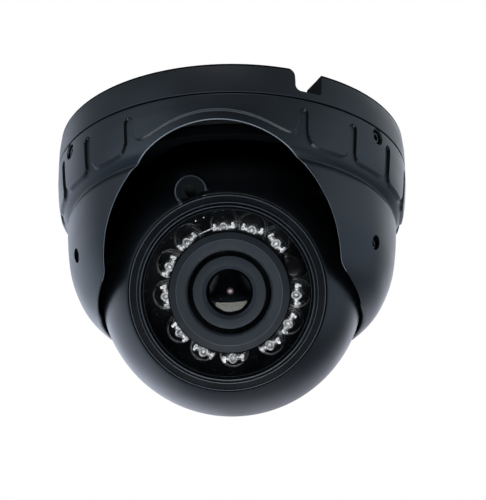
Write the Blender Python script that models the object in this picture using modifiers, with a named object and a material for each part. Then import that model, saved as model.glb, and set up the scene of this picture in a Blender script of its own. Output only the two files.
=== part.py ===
"""Small metal dome camera: ceiling base, turning cover, tilting ball, focusing lens.

Frame: origin at the centre of the ceiling face of the base, +Z up (towards the
ceiling), the cover's arch faces -Y.  Lengths below are in millimetres and are
turned into metres by MM.
"""
import math

import bmesh
import bpy
from mathutils import Matrix, Vector

MM = 0.001

# ---------------------------------------------------------------- dimensions
GAP = 0.3                     # play left between touching pieces

BASE_R = 35.05                # outer radius of the base
BASE_H = 6.4                  # height of the base's visible wall
BASE_RIM_R = 34.65            # radius at the ceiling face
BASE_FLOOR_TOP = -4.6
BASE_RISE_R = 16.6            # raised middle of the floor, clear of the ball
CABLE_HOLE = (23.6, 150.0)    # radius, azimuth
CABLE_HOLE_R = 4.2
SPIGOT_R = 31.6               # spigot that the cover slides on
SPIGOT_IN = 29.2
SPIGOT_END = -13.8
NOTCH_AZ = 30.0               # cable notch, degrees from the front, towards +X
NOTCH_L, NOTCH_R = 2.35, 3.05
NOTCH_D = 4.85
LUG_R = 24.5                  # screw lugs
LUG_AZ = (90.0, 210.0, 330.0)

COVER_TOP = -BASE_H - GAP
COVER_BOTTOM = -38.2
COVER_BORE = SPIGOT_R + GAP
SLOT_FIRST = 28.8             # slots between the raised pads
SLOT_PITCH = (360.0 - 2 * SLOT_FIRST) / 16.0
SLOT_W = 2.0
SLOT_TOP = -8.7
ARCH_Z = -34.7                # centre height of the arch
ARCH_R = 22.7
ARCH_BAND = 1.9               # low band left round the arch

BALL_Z = -30.7                # centre of the ball
BALL_R = 26.15
BALL_WALL = 1.8
TILT = 29.75                  # lens axis below the horizontal at rest
BALL_YAW = 2.5                # ball's heading in the arch at rest
SPLIT = -4.0                  # joint between front and rear shell (ball frame)

LOCK_AZ = (-60.0, 60.0, 180.0)
LOCK_Z = -8.4
AIM_AZ = (-66.6, 66.6)
AIM_Z = -28.9
SCREW_R = 1.2
SCREW_HOLE_R = 1.5

RETAIN_AZ = (70.0, 158.0)     # retainer arc, each side
RETAIN_SCREW_AZ = (84.0, 144.0)
RETAIN_SCREW_R = 28.35

WINDOW_R = 16.9
WINDOW_FRONT = 17.2
WINDOW_T = 2.0
BEZEL_R = 18.9
OPTIC = (0.2, -0.25)          # the optics sit a little off the ball's axis

LED_R = 13.1                  # radius of the LED ring
LED_D = 5.0
LED_TOP = 14.3
LED_ANGLES = (95.0, 70.0, 45.5, -6.5, -31.5, -55.5, -90.0,
              -116.5, -142.5, -175.0, 157.5, 130.0)
SENSOR_ANGLE = 20.0
LED_BOARD_R = 18.6
LED_BOARD_Z = (5.5, 6.7)
MAIN_BOARD = 28.0
MAIN_BOARD_Z = (-3.0, -1.6)

COLUMN_AZ = (90.0, 210.0, 330.0)
COLUMN_R = 19.6
POST_AZ = (30.0, 150.0, 270.0)
POST_R = 17.3

# ------------------------------------------------------------------ clean up
for old in list(bpy.data.objects):
    bpy.data.objects.remove(old, do_unlink=True)

scene = bpy.context.scene
camera_parts = bpy.data.collections.new("dome_camera")
cutters = bpy.data.collections.new("cutters")
guides = bpy.data.collections.new("guides")
for coll in (camera_parts, cutters, guides):
    scene.collection.children.link(coll)


# ------------------------------------------------------------------- helpers
def material(name, colour, rough, metal=0.0, alpha=1.0):
    mat = bpy.data.materials.new(name)
    mat.use_nodes = True
    bsdf = mat.node_tree.nodes["Principled BSDF"]
    bsdf.inputs["Base Color"].default_value = (*colour, 1.0)
    bsdf.inputs["Roughness"].default_value = rough
    bsdf.inputs["Metallic"].default_value = metal
    bsdf.inputs["Alpha"].default_value = alpha
    return mat


def place(ob, parent, coll=camera_parts):
    coll.objects.link(ob)
    ob.parent = parent
    return ob


def finish(ob, mat):
    ob.data.materials.clear()
    own = mat.copy()
    own.name = ob.name
    ob.data.materials.append(own)
    return ob


def as_cutter(ob):
    for coll in list(ob.users_collection):
        coll.objects.unlink(ob)
    cutters.objects.link(ob)
    ob.hide_render = True
    ob.display_type = 'WIRE'
    return ob


def lathe(name, profile, steps, parent, loc=(0, 0, 0)):
    """Turned shape round local Z; profile is [(r, z)], outer side first, top to bottom.
    A profile that starts and ends on the axis is open, any other is closed."""
    mesh = bpy.data.meshes.new(name)
    bm = bmesh.new()
    vs = [bm.verts.new((r * MM, 0.0, z * MM)) for r, z in profile]
    for a, b in zip(vs, vs[1:]):
        bm.edges.new((a, b))
    if not (profile[0][0] == 0 and profile[-1][0] == 0):
        bm.edges.new((vs[-1], vs[0]))
    bm.to_mesh(mesh)
    bm.free()
    ob = bpy.data.objects.new(name, mesh)
    place(ob, parent)
    ob.location = Vector(loc) * MM
    sc = ob.modifiers.new("turn", 'SCREW')
    sc.axis = 'Z'
    sc.angle = math.tau
    sc.screw_offset = 0.0
    sc.steps = steps
    sc.render_steps = steps
    sc.use_merge_vertices = True
    sc.merge_threshold = 0.00001
    sc.use_normal_calculate = False
    sc.use_smooth_shade = True
    return ob


def solid(name, bm, parent, loc=(0, 0, 0), rot=(0, 0, 0)):
    mesh = bpy.data.meshes.new(name)
    bm.to_mesh(mesh)
    bm.free()
    ob = bpy.data.objects.new(name, mesh)
    place(ob, parent)
    ob.location = Vector(loc) * MM
    ob.rotation_euler = rot
    return ob


def add_rod(bm, r, z0, z1, steps, at=(0, 0), matrix=None, r2=None):
    """A capped cylinder or cone along Z from z0 to z1, r at z0."""
    m = Matrix.Translation((at[0] * MM, at[1] * MM, (z0 + z1) / 2 * MM))
    if matrix is not None:
        m = matrix @ m
    bmesh.ops.create_cone(bm, cap_ends=True, segments=steps, radius1=r * MM,
                          radius2=(r if r2 is None else r2) * MM,
                          depth=abs(z1 - z0) * MM, matrix=m)


def add_box(bm, lo, hi, matrix=None):
    c = [(a + b) / 2 * MM for a, b in zip(lo, hi)]
    s = [(b - a) * MM for a, b in zip(lo, hi)]
    m = Matrix.Translation(c) @ Matrix.Diagonal((*s, 1.0))
    if matrix is not None:
        m = matrix @ m
    bmesh.ops.create_cube(bm, size=1.0, matrix=m)


def rods(name, items, parent, steps=16):
    bm = bmesh.new()
    for it in items:
        add_rod(bm, steps=steps, **it)
    return solid(name, bm, parent)


def boolean(ob, other, op='DIFFERENCE'):
    md = ob.modifiers.new(other.name, 'BOOLEAN')
    md.operation = op
    md.object = other
    md.solver = 'EXACT'
    as_cutter(other)
    return md


def plate(name, outline, thick, parent, matrix=None):
    """A flat outline (mm) with a thickness along Z, made from a filled 2D curve."""
    cu = bpy.data.curves.new(name + "_outline", 'CURVE')
    cu.dimensions = '2D'
    cu.fill_mode = 'BOTH'
    cu.extrude = thick / 2 * MM
    sp = cu.splines.new('POLY')
    sp.points.add(len(outline) - 1)
    for p, (x, y) in zip(sp.points, outline):
        p.co = (x * MM, y * MM, 0.0, 1.0)
    sp.use_cyclic_u = True
    tmp = bpy.data.objects.new(name + "_tmp", cu)
    cutters.objects.link(tmp)
    bpy.context.view_layer.update()
    mesh = bpy.data.meshes.new_from_object(tmp.evaluated_get(bpy.context.evaluated_depsgraph_get()))
    bpy.data.objects.remove(tmp, do_unlink=True)
    bm = bmesh.new()
    bm.from_mesh(mesh)
    bmesh.ops.remove_doubles(bm, verts=bm.verts, dist=0.00002)
    if matrix is not None:
        bmesh.ops.transform(bm, matrix=matrix, verts=bm.verts)
    bmesh.ops.recalc_face_normals(bm, faces=bm.faces)
    bm.to_mesh(mesh)
    bm.free()
    ob = bpy.data.objects.new(name, mesh)
    place(ob, parent)
    return ob


def sphere_r(z, extra=0.0, radius=BALL_R):
    """Radius of the ball (grown by extra) at height z from its centre."""
    return math.sqrt(max((radius + extra) ** 2 - z * z, 0.0))


def sphere_arc(radius, z_from, z_to, count):
    """Points along the sphere's meridian between two heights, even in angle."""
    a0, a1 = math.asin(z_from / radius), math.asin(z_to / radius)
    return [(radius * math.cos(a0 + (a1 - a0) * i / count),
             radius * math.sin(a0 + (a1 - a0) * i / count)) for i in range(count + 1)]


def round_z(az):
    """Turn that carries the front (-Y) direction to azimuth az, towards +X."""
    return Matrix.Rotation(math.radians(az), 4, 'Z')


def radial(az, z=0.0):
    """Frame whose +Z points out of the body at azimuth az and height z (mm)."""
    return (round_z(az) @ Matrix.Translation((0, 0, z * MM))
            @ Matrix.Rotation(math.radians(90.0), 4, 'X'))


def polar(r, deg):
    return r * math.cos(math.radians(deg)), r * math.sin(math.radians(deg))


def around(r, az):
    """x, y at azimuth az measured from the front (-Y) towards +X."""
    return r * math.sin(math.radians(az)), -r * math.cos(math.radians(az))


# ----------------------------------------------------------------- materials
PAINT = material("black_paint", (0.018, 0.020, 0.023), 0.42, 0.0)
BALL_PAINT = material("ball_paint", (0.012, 0.013, 0.015), 0.35)
BLACK_RUBBER = material("black_rubber", (0.02, 0.02, 0.02), 0.8)
FOAM = material("shroud_rubber", (0.05, 0.053, 0.056), 0.75)
STEEL = material("dark_steel", (0.12, 0.12, 0.125), 0.35, 1.0)
SCREW_STEEL = material("zinc_steel", (0.55, 0.56, 0.58), 0.3, 1.0)
NYLON = material("black_nylon", (0.03, 0.03, 0.032), 0.5)
GLASS = material("clear_glass", (0.6, 0.65, 0.66), 0.02, 0.0, 0.3)
LENS_GLASS = material("lens_glass", (0.05, 0.07, 0.09), 0.02, 0.0, 0.6)
EPOXY = material("led_epoxy", (0.75, 0.78, 0.8), 0.08, 0.0, 0.5)
SENSOR_DARK = material("sensor_epoxy", (0.03, 0.02, 0.02), 0.15)
LENS_BLACK = material("lens_black", (0.04, 0.043, 0.047), 0.4, 0.6)
BRASS = material("brass", (0.6, 0.45, 0.18), 0.35, 1.0)
BOARD = material("black_board", (0.01, 0.014, 0.012), 0.45)
GREEN_BOARD = material("green_board", (0.01, 0.09, 0.04), 0.45)
CHIP = material("chip_plastic", (0.02, 0.02, 0.022), 0.4)
FILTER = material("filter_glass", (0.2, 0.45, 0.5), 0.05, 0.0, 0.4)
WHITE_NYLON = material("white_nylon", (0.75, 0.74, 0.7), 0.45)


# ---------------------------------------------------------------- joint axes
def guide(name, loc, rot=(0, 0, 0), parent=None):
    e = bpy.data.objects.new(name, None)
    e.empty_display_size = 0.01
    guides.objects.link(e)
    e.location = Vector(loc) * MM
    e.rotation_euler = rot
    e.parent = parent
    e.hide_render = True
    return e


base_frame = guide("base_frame", (0, 0, 0))
pan_axis = guide("pan_axis", (0, 0, 0))
tilt_axis = guide("tilt_axis", (0, 0, BALL_Z),
                  (math.radians(90.0 + TILT), 0.0, math.radians(BALL_YAW)), pan_axis)
focus_axis = guide("focus_axis", (OPTIC[0], OPTIC[1], 0), (0, 0, 0), tilt_axis)

# ---------------------------------------------------------------------- base
base = lathe("mounting_base", [
    (0, -0.9), (BASE_RISE_R + 0.2, -0.9), (BASE_RISE_R + 1.0, BASE_FLOOR_TOP),
    (32.3, BASE_FLOOR_TOP), (32.6, 0.0),
    (34.4, 0.0), (BASE_RIM_R, -0.25), (34.98, -3.0), (BASE_R, -BASE_H + 0.25), (34.8, -BASE_H),
    (SPIGOT_R, -BASE_H), (SPIGOT_R, -10.0), (30.2, -10.0), (30.2, -11.8), (SPIGOT_R, -11.8),
    (SPIGOT_R, SPIGOT_END + 0.3), (31.3, SPIGOT_END), (SPIGOT_IN, SPIGOT_END),
    (SPIGOT_IN, -BASE_H), (BASE_RISE_R, -BASE_H), (BASE_RISE_R - 1.0, -2.3), (0, -2.3)], 44, base_frame)
lugs = bmesh.new()
for az in LUG_AZ:
    add_rod(lugs, 4.2, BASE_FLOOR_TOP - 1.0, 0.0, 20, around(LUG_R, az))
boolean(base, solid("base_lugs", lugs, base_frame), 'UNION')
ribs = bmesh.new()
for az in LUG_AZ:
    add_box(ribs, (-0.9, -33.4, BASE_FLOOR_TOP - 1.1), (0.9, -26.0, -0.7), round_z(az))
boolean(base, solid("base_ribs", ribs, base_frame), 'UNION')
walls = bmesh.new()
add_box(walls, (NOTCH_R - 0.3, -33.0, BASE_FLOOR_TOP - 0.7), (NOTCH_R + 1.9, -27.9, -0.05), round_z(NOTCH_AZ))
add_box(walls, (-NOTCH_L - 1.5, -33.0, BASE_FLOOR_TOP - 0.7), (0.2 - NOTCH_L, -29.3, -0.05), round_z(NOTCH_AZ))
boolean(base, solid("base_cable_walls", walls, base_frame), 'UNION')
holes = bmesh.new()
for az in LUG_AZ:
    add_rod(holes, 2.2, -9.0, 2.0, 16, around(LUG_R, az))
add_rod(holes, CABLE_HOLE_R, -9.0, -3.0, 20, around(*CABLE_HOLE))
boolean(base, solid("base_holes", holes, base_frame))
sinks = bmesh.new()
for az in LUG_AZ:
    add_rod(sinks, 4.6, -6.9, -4.35, 16, around(LUG_R, az), r2=2.05)
boolean(base, solid("base_sinks", sinks, base_frame))
notch = [(NOTCH_R + 0.6, 1.5), (NOTCH_R + 0.45, 0.0), (NOTCH_R, -NOTCH_D + 0.2), (NOTCH_R - 0.2, -NOTCH_D)]
notch += [(-NOTCH_L + 1.2 - 1.2 * math.sin(t), -NOTCH_D + 1.2 - 1.2 * math.cos(t)) for t in (0.0, 0.5, 1.05, math.pi / 2)]
notch += [(-NOTCH_L - 1.7 + 1.7 * math.cos(t), -1.7 + 1.7 * math.sin(t)) for t in (0.0, 0.5, 1.0, 1.45)]
notch += [(-NOTCH_L - 1.7, 1.5)]
cut = plate("notch_cutter", notch, 12.0, base_frame,
            round_z(NOTCH_AZ) @ Matrix.Translation((0, -33.6 * MM, 0)) @ Matrix.Rotation(math.radians(90), 4, 'X'))
boolean(base, cut)
finish(base, PAINT)

o_ring = lathe("base_o_ring", [(31.05 + 0.55 * math.cos(t), -10.9 + 0.55 * math.sin(t))
                               for t in [math.pi / 2 - math.tau * i / 5 for i in range(5)]],
               32, base_frame)
finish(o_ring, BLACK_RUBBER)

grommet = lathe("cable_grommet", [(2.1, -3.5), (4.5, -3.5), (5.0, -4.3), (3.9, -4.3), (3.9, -6.7), (5.0, -6.7),
                                  (4.5, -7.5), (2.1, -7.5)], 18, base_frame, (*around(*CABLE_HOLE), 0))
finish(grommet, BLACK_RUBBER)

# --------------------------------------------------------------------- cover
OUTER = [(34.85, COVER_TOP), (35.05, COVER_TOP - 0.25), (35.05, -9.2),
         (34.72, -14.0), (34.3, -16.1), (33.85, -16.3),
         (33.15, -17.8), (32.68, -18.7), (32.75, -20.0),
         (32.6, -24.0), (32.1, -28.0), (30.95, -31.85),
         (28.97, -35.5), (27.6, -37.0), (26.2, COVER_BOTTOM)]
INNER = [(25.45, COVER_BOTTOM), (25.95, -36.3), (27.5, -34.0),
         (29.1, -30.0), (29.95, -26.0), (30.25, -18.6),
         (30.9, -16.8), (COVER_BORE, -13.2), (COVER_BORE, COVER_TOP)]
cover = lathe("cover", OUTER + INNER, 52, pan_axis)

# bosses for the retainer screws, cast into the inside of the shoulders
boss_az = [s * a for s in (-1, 1) for a in RETAIN_SCREW_AZ]
bosses = bmesh.new()
for az in boss_az:
    add_rod(bosses, 1.6, -33.0, -27.5, 12, around(RETAIN_SCREW_R, az))
boolean(cover, solid("cover_bosses", bosses, pan_axis), 'UNION')
taps = bmesh.new()
for az in boss_az:
    add_rod(taps, 1.1, -31.6, -26.5, 10, around(RETAIN_SCREW_R, az))
boolean(cover, solid("cover_taps", taps, pan_axis))

# slots between the raised pads: round-topped, half a millimetre deep
slots = bmesh.new()
lean = math.atan2(0.7, 7.9)
for k in range(17):
    az = SLOT_FIRST + SLOT_PITCH * k
    m = (round_z(az) @ Matrix.Translation((0, -34.53 * MM, (SLOT_TOP - SLOT_W / 2) * MM))
         @ Matrix.Rotation(math.radians(90.0) - lean, 4, 'X'))
    made = bmesh.ops.create_cone(slots, cap_ends=True, segments=8, radius1=SLOT_W / 2 * MM,
                                 radius2=SLOT_W / 2 * MM, depth=1.5 * MM,
                                 matrix=Matrix.Translation((0, 0, 0.75 * MM)))
    for v in made["verts"]:
        if v.co.y < -0.0001 * MM:
            v.co.y -= 6.1 * MM
    bmesh.ops.transform(slots, matrix=m, verts=made["verts"])
boolean(cover, solid("slot_cutters", slots, pan_axis))

# low band round the arch
band = lathe("band_cutter", [(37.0, -9.0), (37.0, -17.6), (33.5, -17.6), (33.62, -16.9), (33.82, -16.2),
                             (34.25, -14.0), (34.57, -9.0)], 52, pan_axis)
disc = bmesh.new()
add_rod(disc, ARCH_R + ARCH_BAND, 20.0, 40.0, 48, (0, 0),
        Matrix.Translation((0, 0, ARCH_Z * MM)) @ Matrix.Rotation(math.radians(90), 4, 'X'))
boolean(band, solid("band_disc", disc, pan_axis), 'INTERSECT')
boolean(cover, band)

# the arch itself, flaring into the bottom hole
arch = [(ARCH_R * math.cos(math.pi * i / 32), ARCH_Z + ARCH_R * math.sin(math.pi * i / 32)) for i in range(33)]
flare = [(-22.75, -35.2), (-23.1, -35.8), (-23.75, -36.4), (-24.7, -37.1), (-25.9, -38.0), (-26.4, -38.6), (-26.4, -40.0)]
arch = arch + flare + [(-x, z) for x, z in reversed(flare)]
arch_cut = plate("arch_cutter", arch, 37.0, pan_axis,
                 Matrix.Translation((0, -21.6 * MM, 0)) @ Matrix.Rotation(math.radians(90), 4, 'X'))
boolean(cover, arch_cut)

# holes for the set screws
bores = bmesh.new()
for az in LOCK_AZ:
    add_rod(bores, SCREW_HOLE_R, 30.0, 38.0, 14, (0, 0), radial(az, LOCK_Z))
for az in AIM_AZ:
    add_rod(bores, SCREW_HOLE_R, 26.8, 36.0, 14, (0, 0), radial(az, AIM_Z))
boolean(cover, solid("screw_bores", bores, pan_axis))
finish(cover, PAINT)


def set_screw(name, az, z, r_in, r_out):
    """Socket set screw: threaded rod, pointed end, hexagon socket; parent axis frame."""
    m = radial(az, z)
    bm = bmesh.new()
    add_rod(bm, SCREW_R, r_in, r_out, 14, (0, 0), m)
    ob = solid(name, bm, pan_axis)
    bm = bmesh.new()
    add_rod(bm, 0.72, r_out - 1.1, r_out + 1.0, 6, (0, 0), m)
    boolean(ob, solid(name + "_socket", bm, pan_axis))
    return finish(ob, STEEL)


set_screw("cover_lock_screw_left", LOCK_AZ[0], LOCK_Z, SPIGOT_R + GAP + 0.05, 34.55)
set_screw("cover_lock_screw_right", LOCK_AZ[1], LOCK_Z, SPIGOT_R + GAP + 0.05, 34.55)
set_screw("cover_lock_screw_rear", LOCK_AZ[2], LOCK_Z, SPIGOT_R + GAP + 0.05, 34.55)
set_screw("ball_lock_screw_left", AIM_AZ[0], AIM_Z, BALL_R + 0.35, 31.45)
set_screw("ball_lock_screw_right", AIM_AZ[1], AIM_Z, BALL_R + 0.35, 31.45)

# -------------------------------------------------- retainers over the ball
for side, s in (("left", -1), ("right", 1)):
    zt, zb = -22.9, -27.2
    inner = [(sphere_r(z - BALL_Z, 0.35), z) for z in (zb, zb + 1.4, zb + 2.9, zt)]
    ring = lathe("ball_retainer_" + side, [(28.9, zt), (29.6, zt - 0.7), (29.6, zb)] + inner, 24, pan_axis)
    # only an arc of the ring is kept: the screw modifier turns part of the way
    sc = ring.modifiers["turn"]
    sc.angle = math.radians(RETAIN_AZ[1] - RETAIN_AZ[0])
    sc.use_merge_vertices = False
    start = -90.0 + (RETAIN_AZ[0] if s > 0 else -RETAIN_AZ[1])
    ring.data.transform(Matrix.Rotation(math.radians(start), 4, 'Z'))
    bm = bmesh.new()
    bm.from_mesh(ring.data)
    face = bmesh.ops.contextual_create(bm, geom=bm.edges)
    bm.to_mesh(ring.data)
    bm.free()
    ring.modifiers.remove(sc)
    bm = bmesh.new()
    bm.from_mesh(ring.data)
    spun = bmesh.ops.spin(bm, geom=bm.faces[:] + bm.edges[:] + bm.verts[:], cent=(0, 0, 0), axis=(0, 0, 1),
                          angle=math.radians(RETAIN_AZ[1] - RETAIN_AZ[0]), steps=10, use_duplicate=False)
    bmesh.ops.recalc_face_normals(bm, faces=bm.faces)
    bm.to_mesh(ring.data)
    bm.free()
    cut = bmesh.new()
    for a in RETAIN_SCREW_AZ:
        add_rod(cut, 1.15, -28.5, -20.0, 12, around(RETAIN_SCREW_R, s * a))
    boolean(ring, solid("retainer_holes_" + side, cut, pan_axis))
    finish(ring, NYLON)
n = 0
for s in (-1, 1):
    for a in RETAIN_SCREW_AZ:
        n += 1
        x, y = around(RETAIN_SCREW_R, s * a)
        scr = lathe("retainer_screw_%d" % n, [(0, -21.2), (1.1, -21.3), (1.75, -21.8), (1.75, -22.55),
                                              (0.8, -22.55), (0.8, -31.2), (0, -31.2)], 10, pan_axis,
                    (x, y, 0))
        bm = bmesh.new()
        add_box(bm, (-2.0, -0.2, -21.75), (2.0, 0.2, -20.5),
                Matrix.Translation((x * MM, y * MM, 0)) @ Matrix.Rotation(math.radians(20 * n), 4, 'Z'))
        boolean(scr, solid("retainer_screw_%d_slot" % n, bm, pan_axis))
        finish(scr, SCREW_STEEL)

# ---------------------------------------------------------------------- ball
IN_R = BALL_R - BALL_WALL
front = lathe("ball_front_shell",
              [(BEZEL_R + GAP, 17.4)] + sphere_arc(BALL_R, 17.5, SPLIT, 7)
              + sphere_arc(IN_R, SPLIT, 12.8, 4)
              + [(16.3, 12.8), (16.3, 14.0), (17.3, 14.0), (17.3, 15.2), (BEZEL_R + GAP, 15.2)],
              36, tilt_axis)
posts = bmesh.new()
for az in COLUMN_AZ:
    add_rod(posts, 1.7, SPLIT - 1.0, 13.2, 14, polar(COLUMN_R, az))
for az in POST_AZ:
    add_rod(posts, 1.2, 7.0, 13.2, 12, polar(POST_R, az))
boolean(front, solid("front_posts", posts, tilt_axis), 'UNION')
taps = bmesh.new()
for az in COLUMN_AZ:
    add_rod(taps, 1.2, SPLIT - 2.0, 2.0, 10, polar(COLUMN_R, az))
for az in POST_AZ:
    add_rod(taps, 0.8, 6.0, 10.0, 8, polar(POST_R, az))
boolean(front, solid("front_taps", taps, tilt_axis))
# microphone boss, upper left of the bezel, with its sound hole
MIC = (-6.55, 19.6)
boss = plate("mic_boss", [(MIC[0] + 3.2 * math.cos(math.radians(a)), MIC[1] + 3.2 * math.sin(math.radians(a)))
                          for a in range(10, 207, 16)]
             + [polar(19.55, 116.5), polar(19.55, 108.5), polar(19.55, 100.5)], 7.0, tilt_axis,
             Matrix.Translation((0, 0, 13.0 * MM)))
boolean(front, boss, 'UNION')
hole = bmesh.new()
add_rod(hole, 1.0, 14.0, 19.0, 12, MIC)
boolean(front, solid("mic_hole", hole, tilt_axis))
pocket = bmesh.new()
add_rod(pocket, 1.9, 5.0, 14.5, 12, (MIC[0], MIC[1]))
boolean(front, solid("mic_pocket", pocket, tilt_axis))
finish(front, BALL_PAINT)

rear = lathe("ball_rear_shell",
             sphere_arc(BALL_R, SPLIT - GAP, -25.4, 7) + [(3.4, -25.4), (3.4, -22.0), (6.0, -22.0)]
             + sphere_arc(IN_R, -23.0, SPLIT - 2.0, 4)
             + [(22.2, SPLIT - 1.8), (22.2, -0.8), (23.7, -0.8), (23.7, -1.5), (22.8, -1.5), (22.8, -3.1),
                (23.7, -3.1), (23.7, SPLIT - GAP)],
             36, tilt_axis)
posts = bmesh.new()
for az in COLUMN_AZ:
    add_rod(posts, 2.7, -12.4, -5.3, 14, polar(COLUMN_R, az))
boolean(rear, solid("rear_posts", posts, tilt_axis), 'UNION')
bores = bmesh.new()
for az in COLUMN_AZ:
    add_rod(bores, 1.2, -10.0, -4.0, 10, polar(COLUMN_R, az))
boolean(rear, solid("rear_bores", bores, tilt_axis))
bores = bmesh.new()
for az in COLUMN_AZ:
    add_rod(bores, 2.2, -24.0, -8.5, 14, polar(COLUMN_R, az))
boolean(rear, solid("rear_counterbores", bores, tilt_axis))
finish(rear, BALL_PAINT)

seal = lathe("ball_o_ring", [(23.58 + 0.45 * math.cos(t), -2.3 + 0.45 * math.sin(t))
                             for t in [math.pi / 2 - math.tau * i / 5 for i in range(5)]], 30, tilt_axis)
finish(seal, BLACK_RUBBER)

for i, az in enumerate(COLUMN_AZ):
    x, y = polar(COLUMN_R, az)
    scr = lathe("ball_screw_%d" % (i + 1), [(0, 0.5), (0.6, 0.5), (0.9, 0.1), (0.9, -8.8), (1.9, -8.8), (1.9, -9.8),
                                            (1.2, -10.4), (0, -10.4)], 10, tilt_axis, (x, y, 0))
    bm = bmesh.new()
    add_rod(bm, 0.75, -12.0, -9.5, 6, (x, y))
    boolean(scr, solid("ball_screw_%d_socket" % (i + 1), bm, tilt_axis))
    finish(scr, SCREW_STEEL)

gland = lathe("cable_gland", [(2.0, -20.6), (4.4, -20.6), (4.4, -21.7), (3.1, -21.7), (3.1, -25.7), (4.2, -25.75),
                              (4.0, -26.4), (2.6, -27.0), (2.0, -27.0)], 16, tilt_axis)
finish(gland, BLACK_RUBBER)

bezel = lathe("bezel_ring", [
    (17.25, 18.75), (17.4, 18.25), (18.05, 18.1), (18.35, 18.35), (18.6, 18.3), (BEZEL_R, 17.9), (BEZEL_R, 15.5), (17.2, 15.5),
    (17.2, 17.5), (15.85, 17.5), (15.85, 18.1), (16.2, 18.45), (16.75, 18.95)], 36, tilt_axis)
finish(bezel, BALL_PAINT)

window = lathe("window_glass", [(0, WINDOW_FRONT), (16.7, WINDOW_FRONT), (WINDOW_R, WINDOW_FRONT - 0.2),
                                (WINDOW_R, WINDOW_FRONT - WINDOW_T), (0, WINDOW_FRONT - WINDOW_T)], 36, tilt_axis)
finish(window, GLASS)
gasket = lathe("window_gasket", [(16.95, 14.9), (16.95, 14.3), (16.35, 14.3), (16.35, 14.9)], 36, tilt_axis)
finish(gasket, BLACK_RUBBER)

shroud = lathe("lens_shroud", [(10.3, 14.9), (11.6, 14.9), (11.85, 14.7), (11.85, 14.65), (10.1, 14.6), (10.1, 9.2), (8.2, 9.2),
                               (8.0, 12.2)], 28, tilt_axis)
finish(shroud, FOAM)

# optics boards -------------------------------------------------------------
ox, oy = OPTIC
led_board = lathe("led_board", [(LED_BOARD_R, LED_BOARD_Z[1]), (LED_BOARD_R, LED_BOARD_Z[0]),
                                (8.6, LED_BOARD_Z[0]), (8.6, LED_BOARD_Z[1])], 32, tilt_axis)
cut = bmesh.new()
for az in COLUMN_AZ:
    add_rod(cut, 2.2, 4.0, 8.0, 14, polar(COLUMN_R, az))
boolean(led_board, solid("led_board_notches", cut, tilt_axis))
cut = bmesh.new()
for az in POST_AZ:
    add_rod(cut, 0.9, 4.0, 8.0, 10, polar(POST_R, az))
boolean(led_board, solid("led_board_holes", cut, tilt_axis))
finish(led_board, BOARD)

for i, a in enumerate(LED_ANGLES):
    x, y = polar(LED_R, a)
    r = LED_D / 2
    dome = [(r * math.sin(t), LED_TOP - r + r * math.cos(t)) for t in [math.radians(d) for d in (0, 30, 60, 90)]]
    dome[0] = (0, LED_TOP)
    led = lathe("ir_led_%02d" % (i + 1), dome + [(r, 7.0), (0, 7.0)], 10, tilt_axis, (x + ox, y + oy, 0))
    finish(led, EPOXY)
x, y = polar(LED_R, SENSOR_ANGLE)
cds = lathe("light_sensor", [(0, 13.6), (1.7, 13.5), (2.3, 13.0), (2.5, 12.3), (2.5, 7.0), (0, 7.0)], 14, tilt_axis,
            (x + ox, y + oy, 0))
finish(cds, SENSOR_DARK)
for i, az in enumerate(POST_AZ):
    x, y = polar(POST_R, az)
    scr = lathe("board_screw_%d" % (i + 1), [(0, 9.2), (0.5, 9.2), (0.5, 5.2), (1.1, 5.2), (1.1, 4.5), (0, 4.2)], 12,
                tilt_axis, (x, y, 0))
    finish(scr, SCREW_STEEL)

h = MAIN_BOARD / 2
bm = bmesh.new()
add_box(bm, (-h, -h, MAIN_BOARD_Z[0]), (h, h, MAIN_BOARD_Z[1]))
main_board = solid("main_board", bm, tilt_axis)
cut = bmesh.new()
for sx in (-1, 1):
    for sy in (-1, 1):
        add_rod(cut, 1.1, -5.0, 1.0, 10, (12.0 * sx, 12.0 * sy))
boolean(main_board, solid("main_board_holes", cut, tilt_axis))
finish(main_board, GREEN_BOARD)
n = 0
for sx in (-1, 1):
    for sy in (-1, 1):
        n += 1
        bm = bmesh.new()
        add_rod(bm, 1.8, MAIN_BOARD_Z[1] + GAP, LED_BOARD_Z[0] - GAP, 6, (12.0 * sx, 12.0 * sy))
        spacer = solid("board_spacer_%d" % n, bm, tilt_axis)
        finish(spacer, BRASS)

holder = lathe("lens_holder", [(7.4, 8.4), (7.4, 1.4), (8.2, 1.4), (8.2, MAIN_BOARD_Z[1] + GAP), (6.3, MAIN_BOARD_Z[1] + GAP),
                               (6.3, 8.4)], 28, tilt_axis, (ox, oy, 0))
bm = bmesh.new()
for sx in (-1, 1):
    add_box(bm, (min(7.3 * sx, 11.0 * sx), -2.2, MAIN_BOARD_Z[1] + GAP + 0.01), (max(7.3 * sx, 11.0 * sx), 2.2, 0.3))
ears = solid("holder_ears", bm, tilt_axis, (ox, oy, 0))
boolean(holder, ears, 'UNION')
finish(holder, LENS_BLACK)

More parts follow.
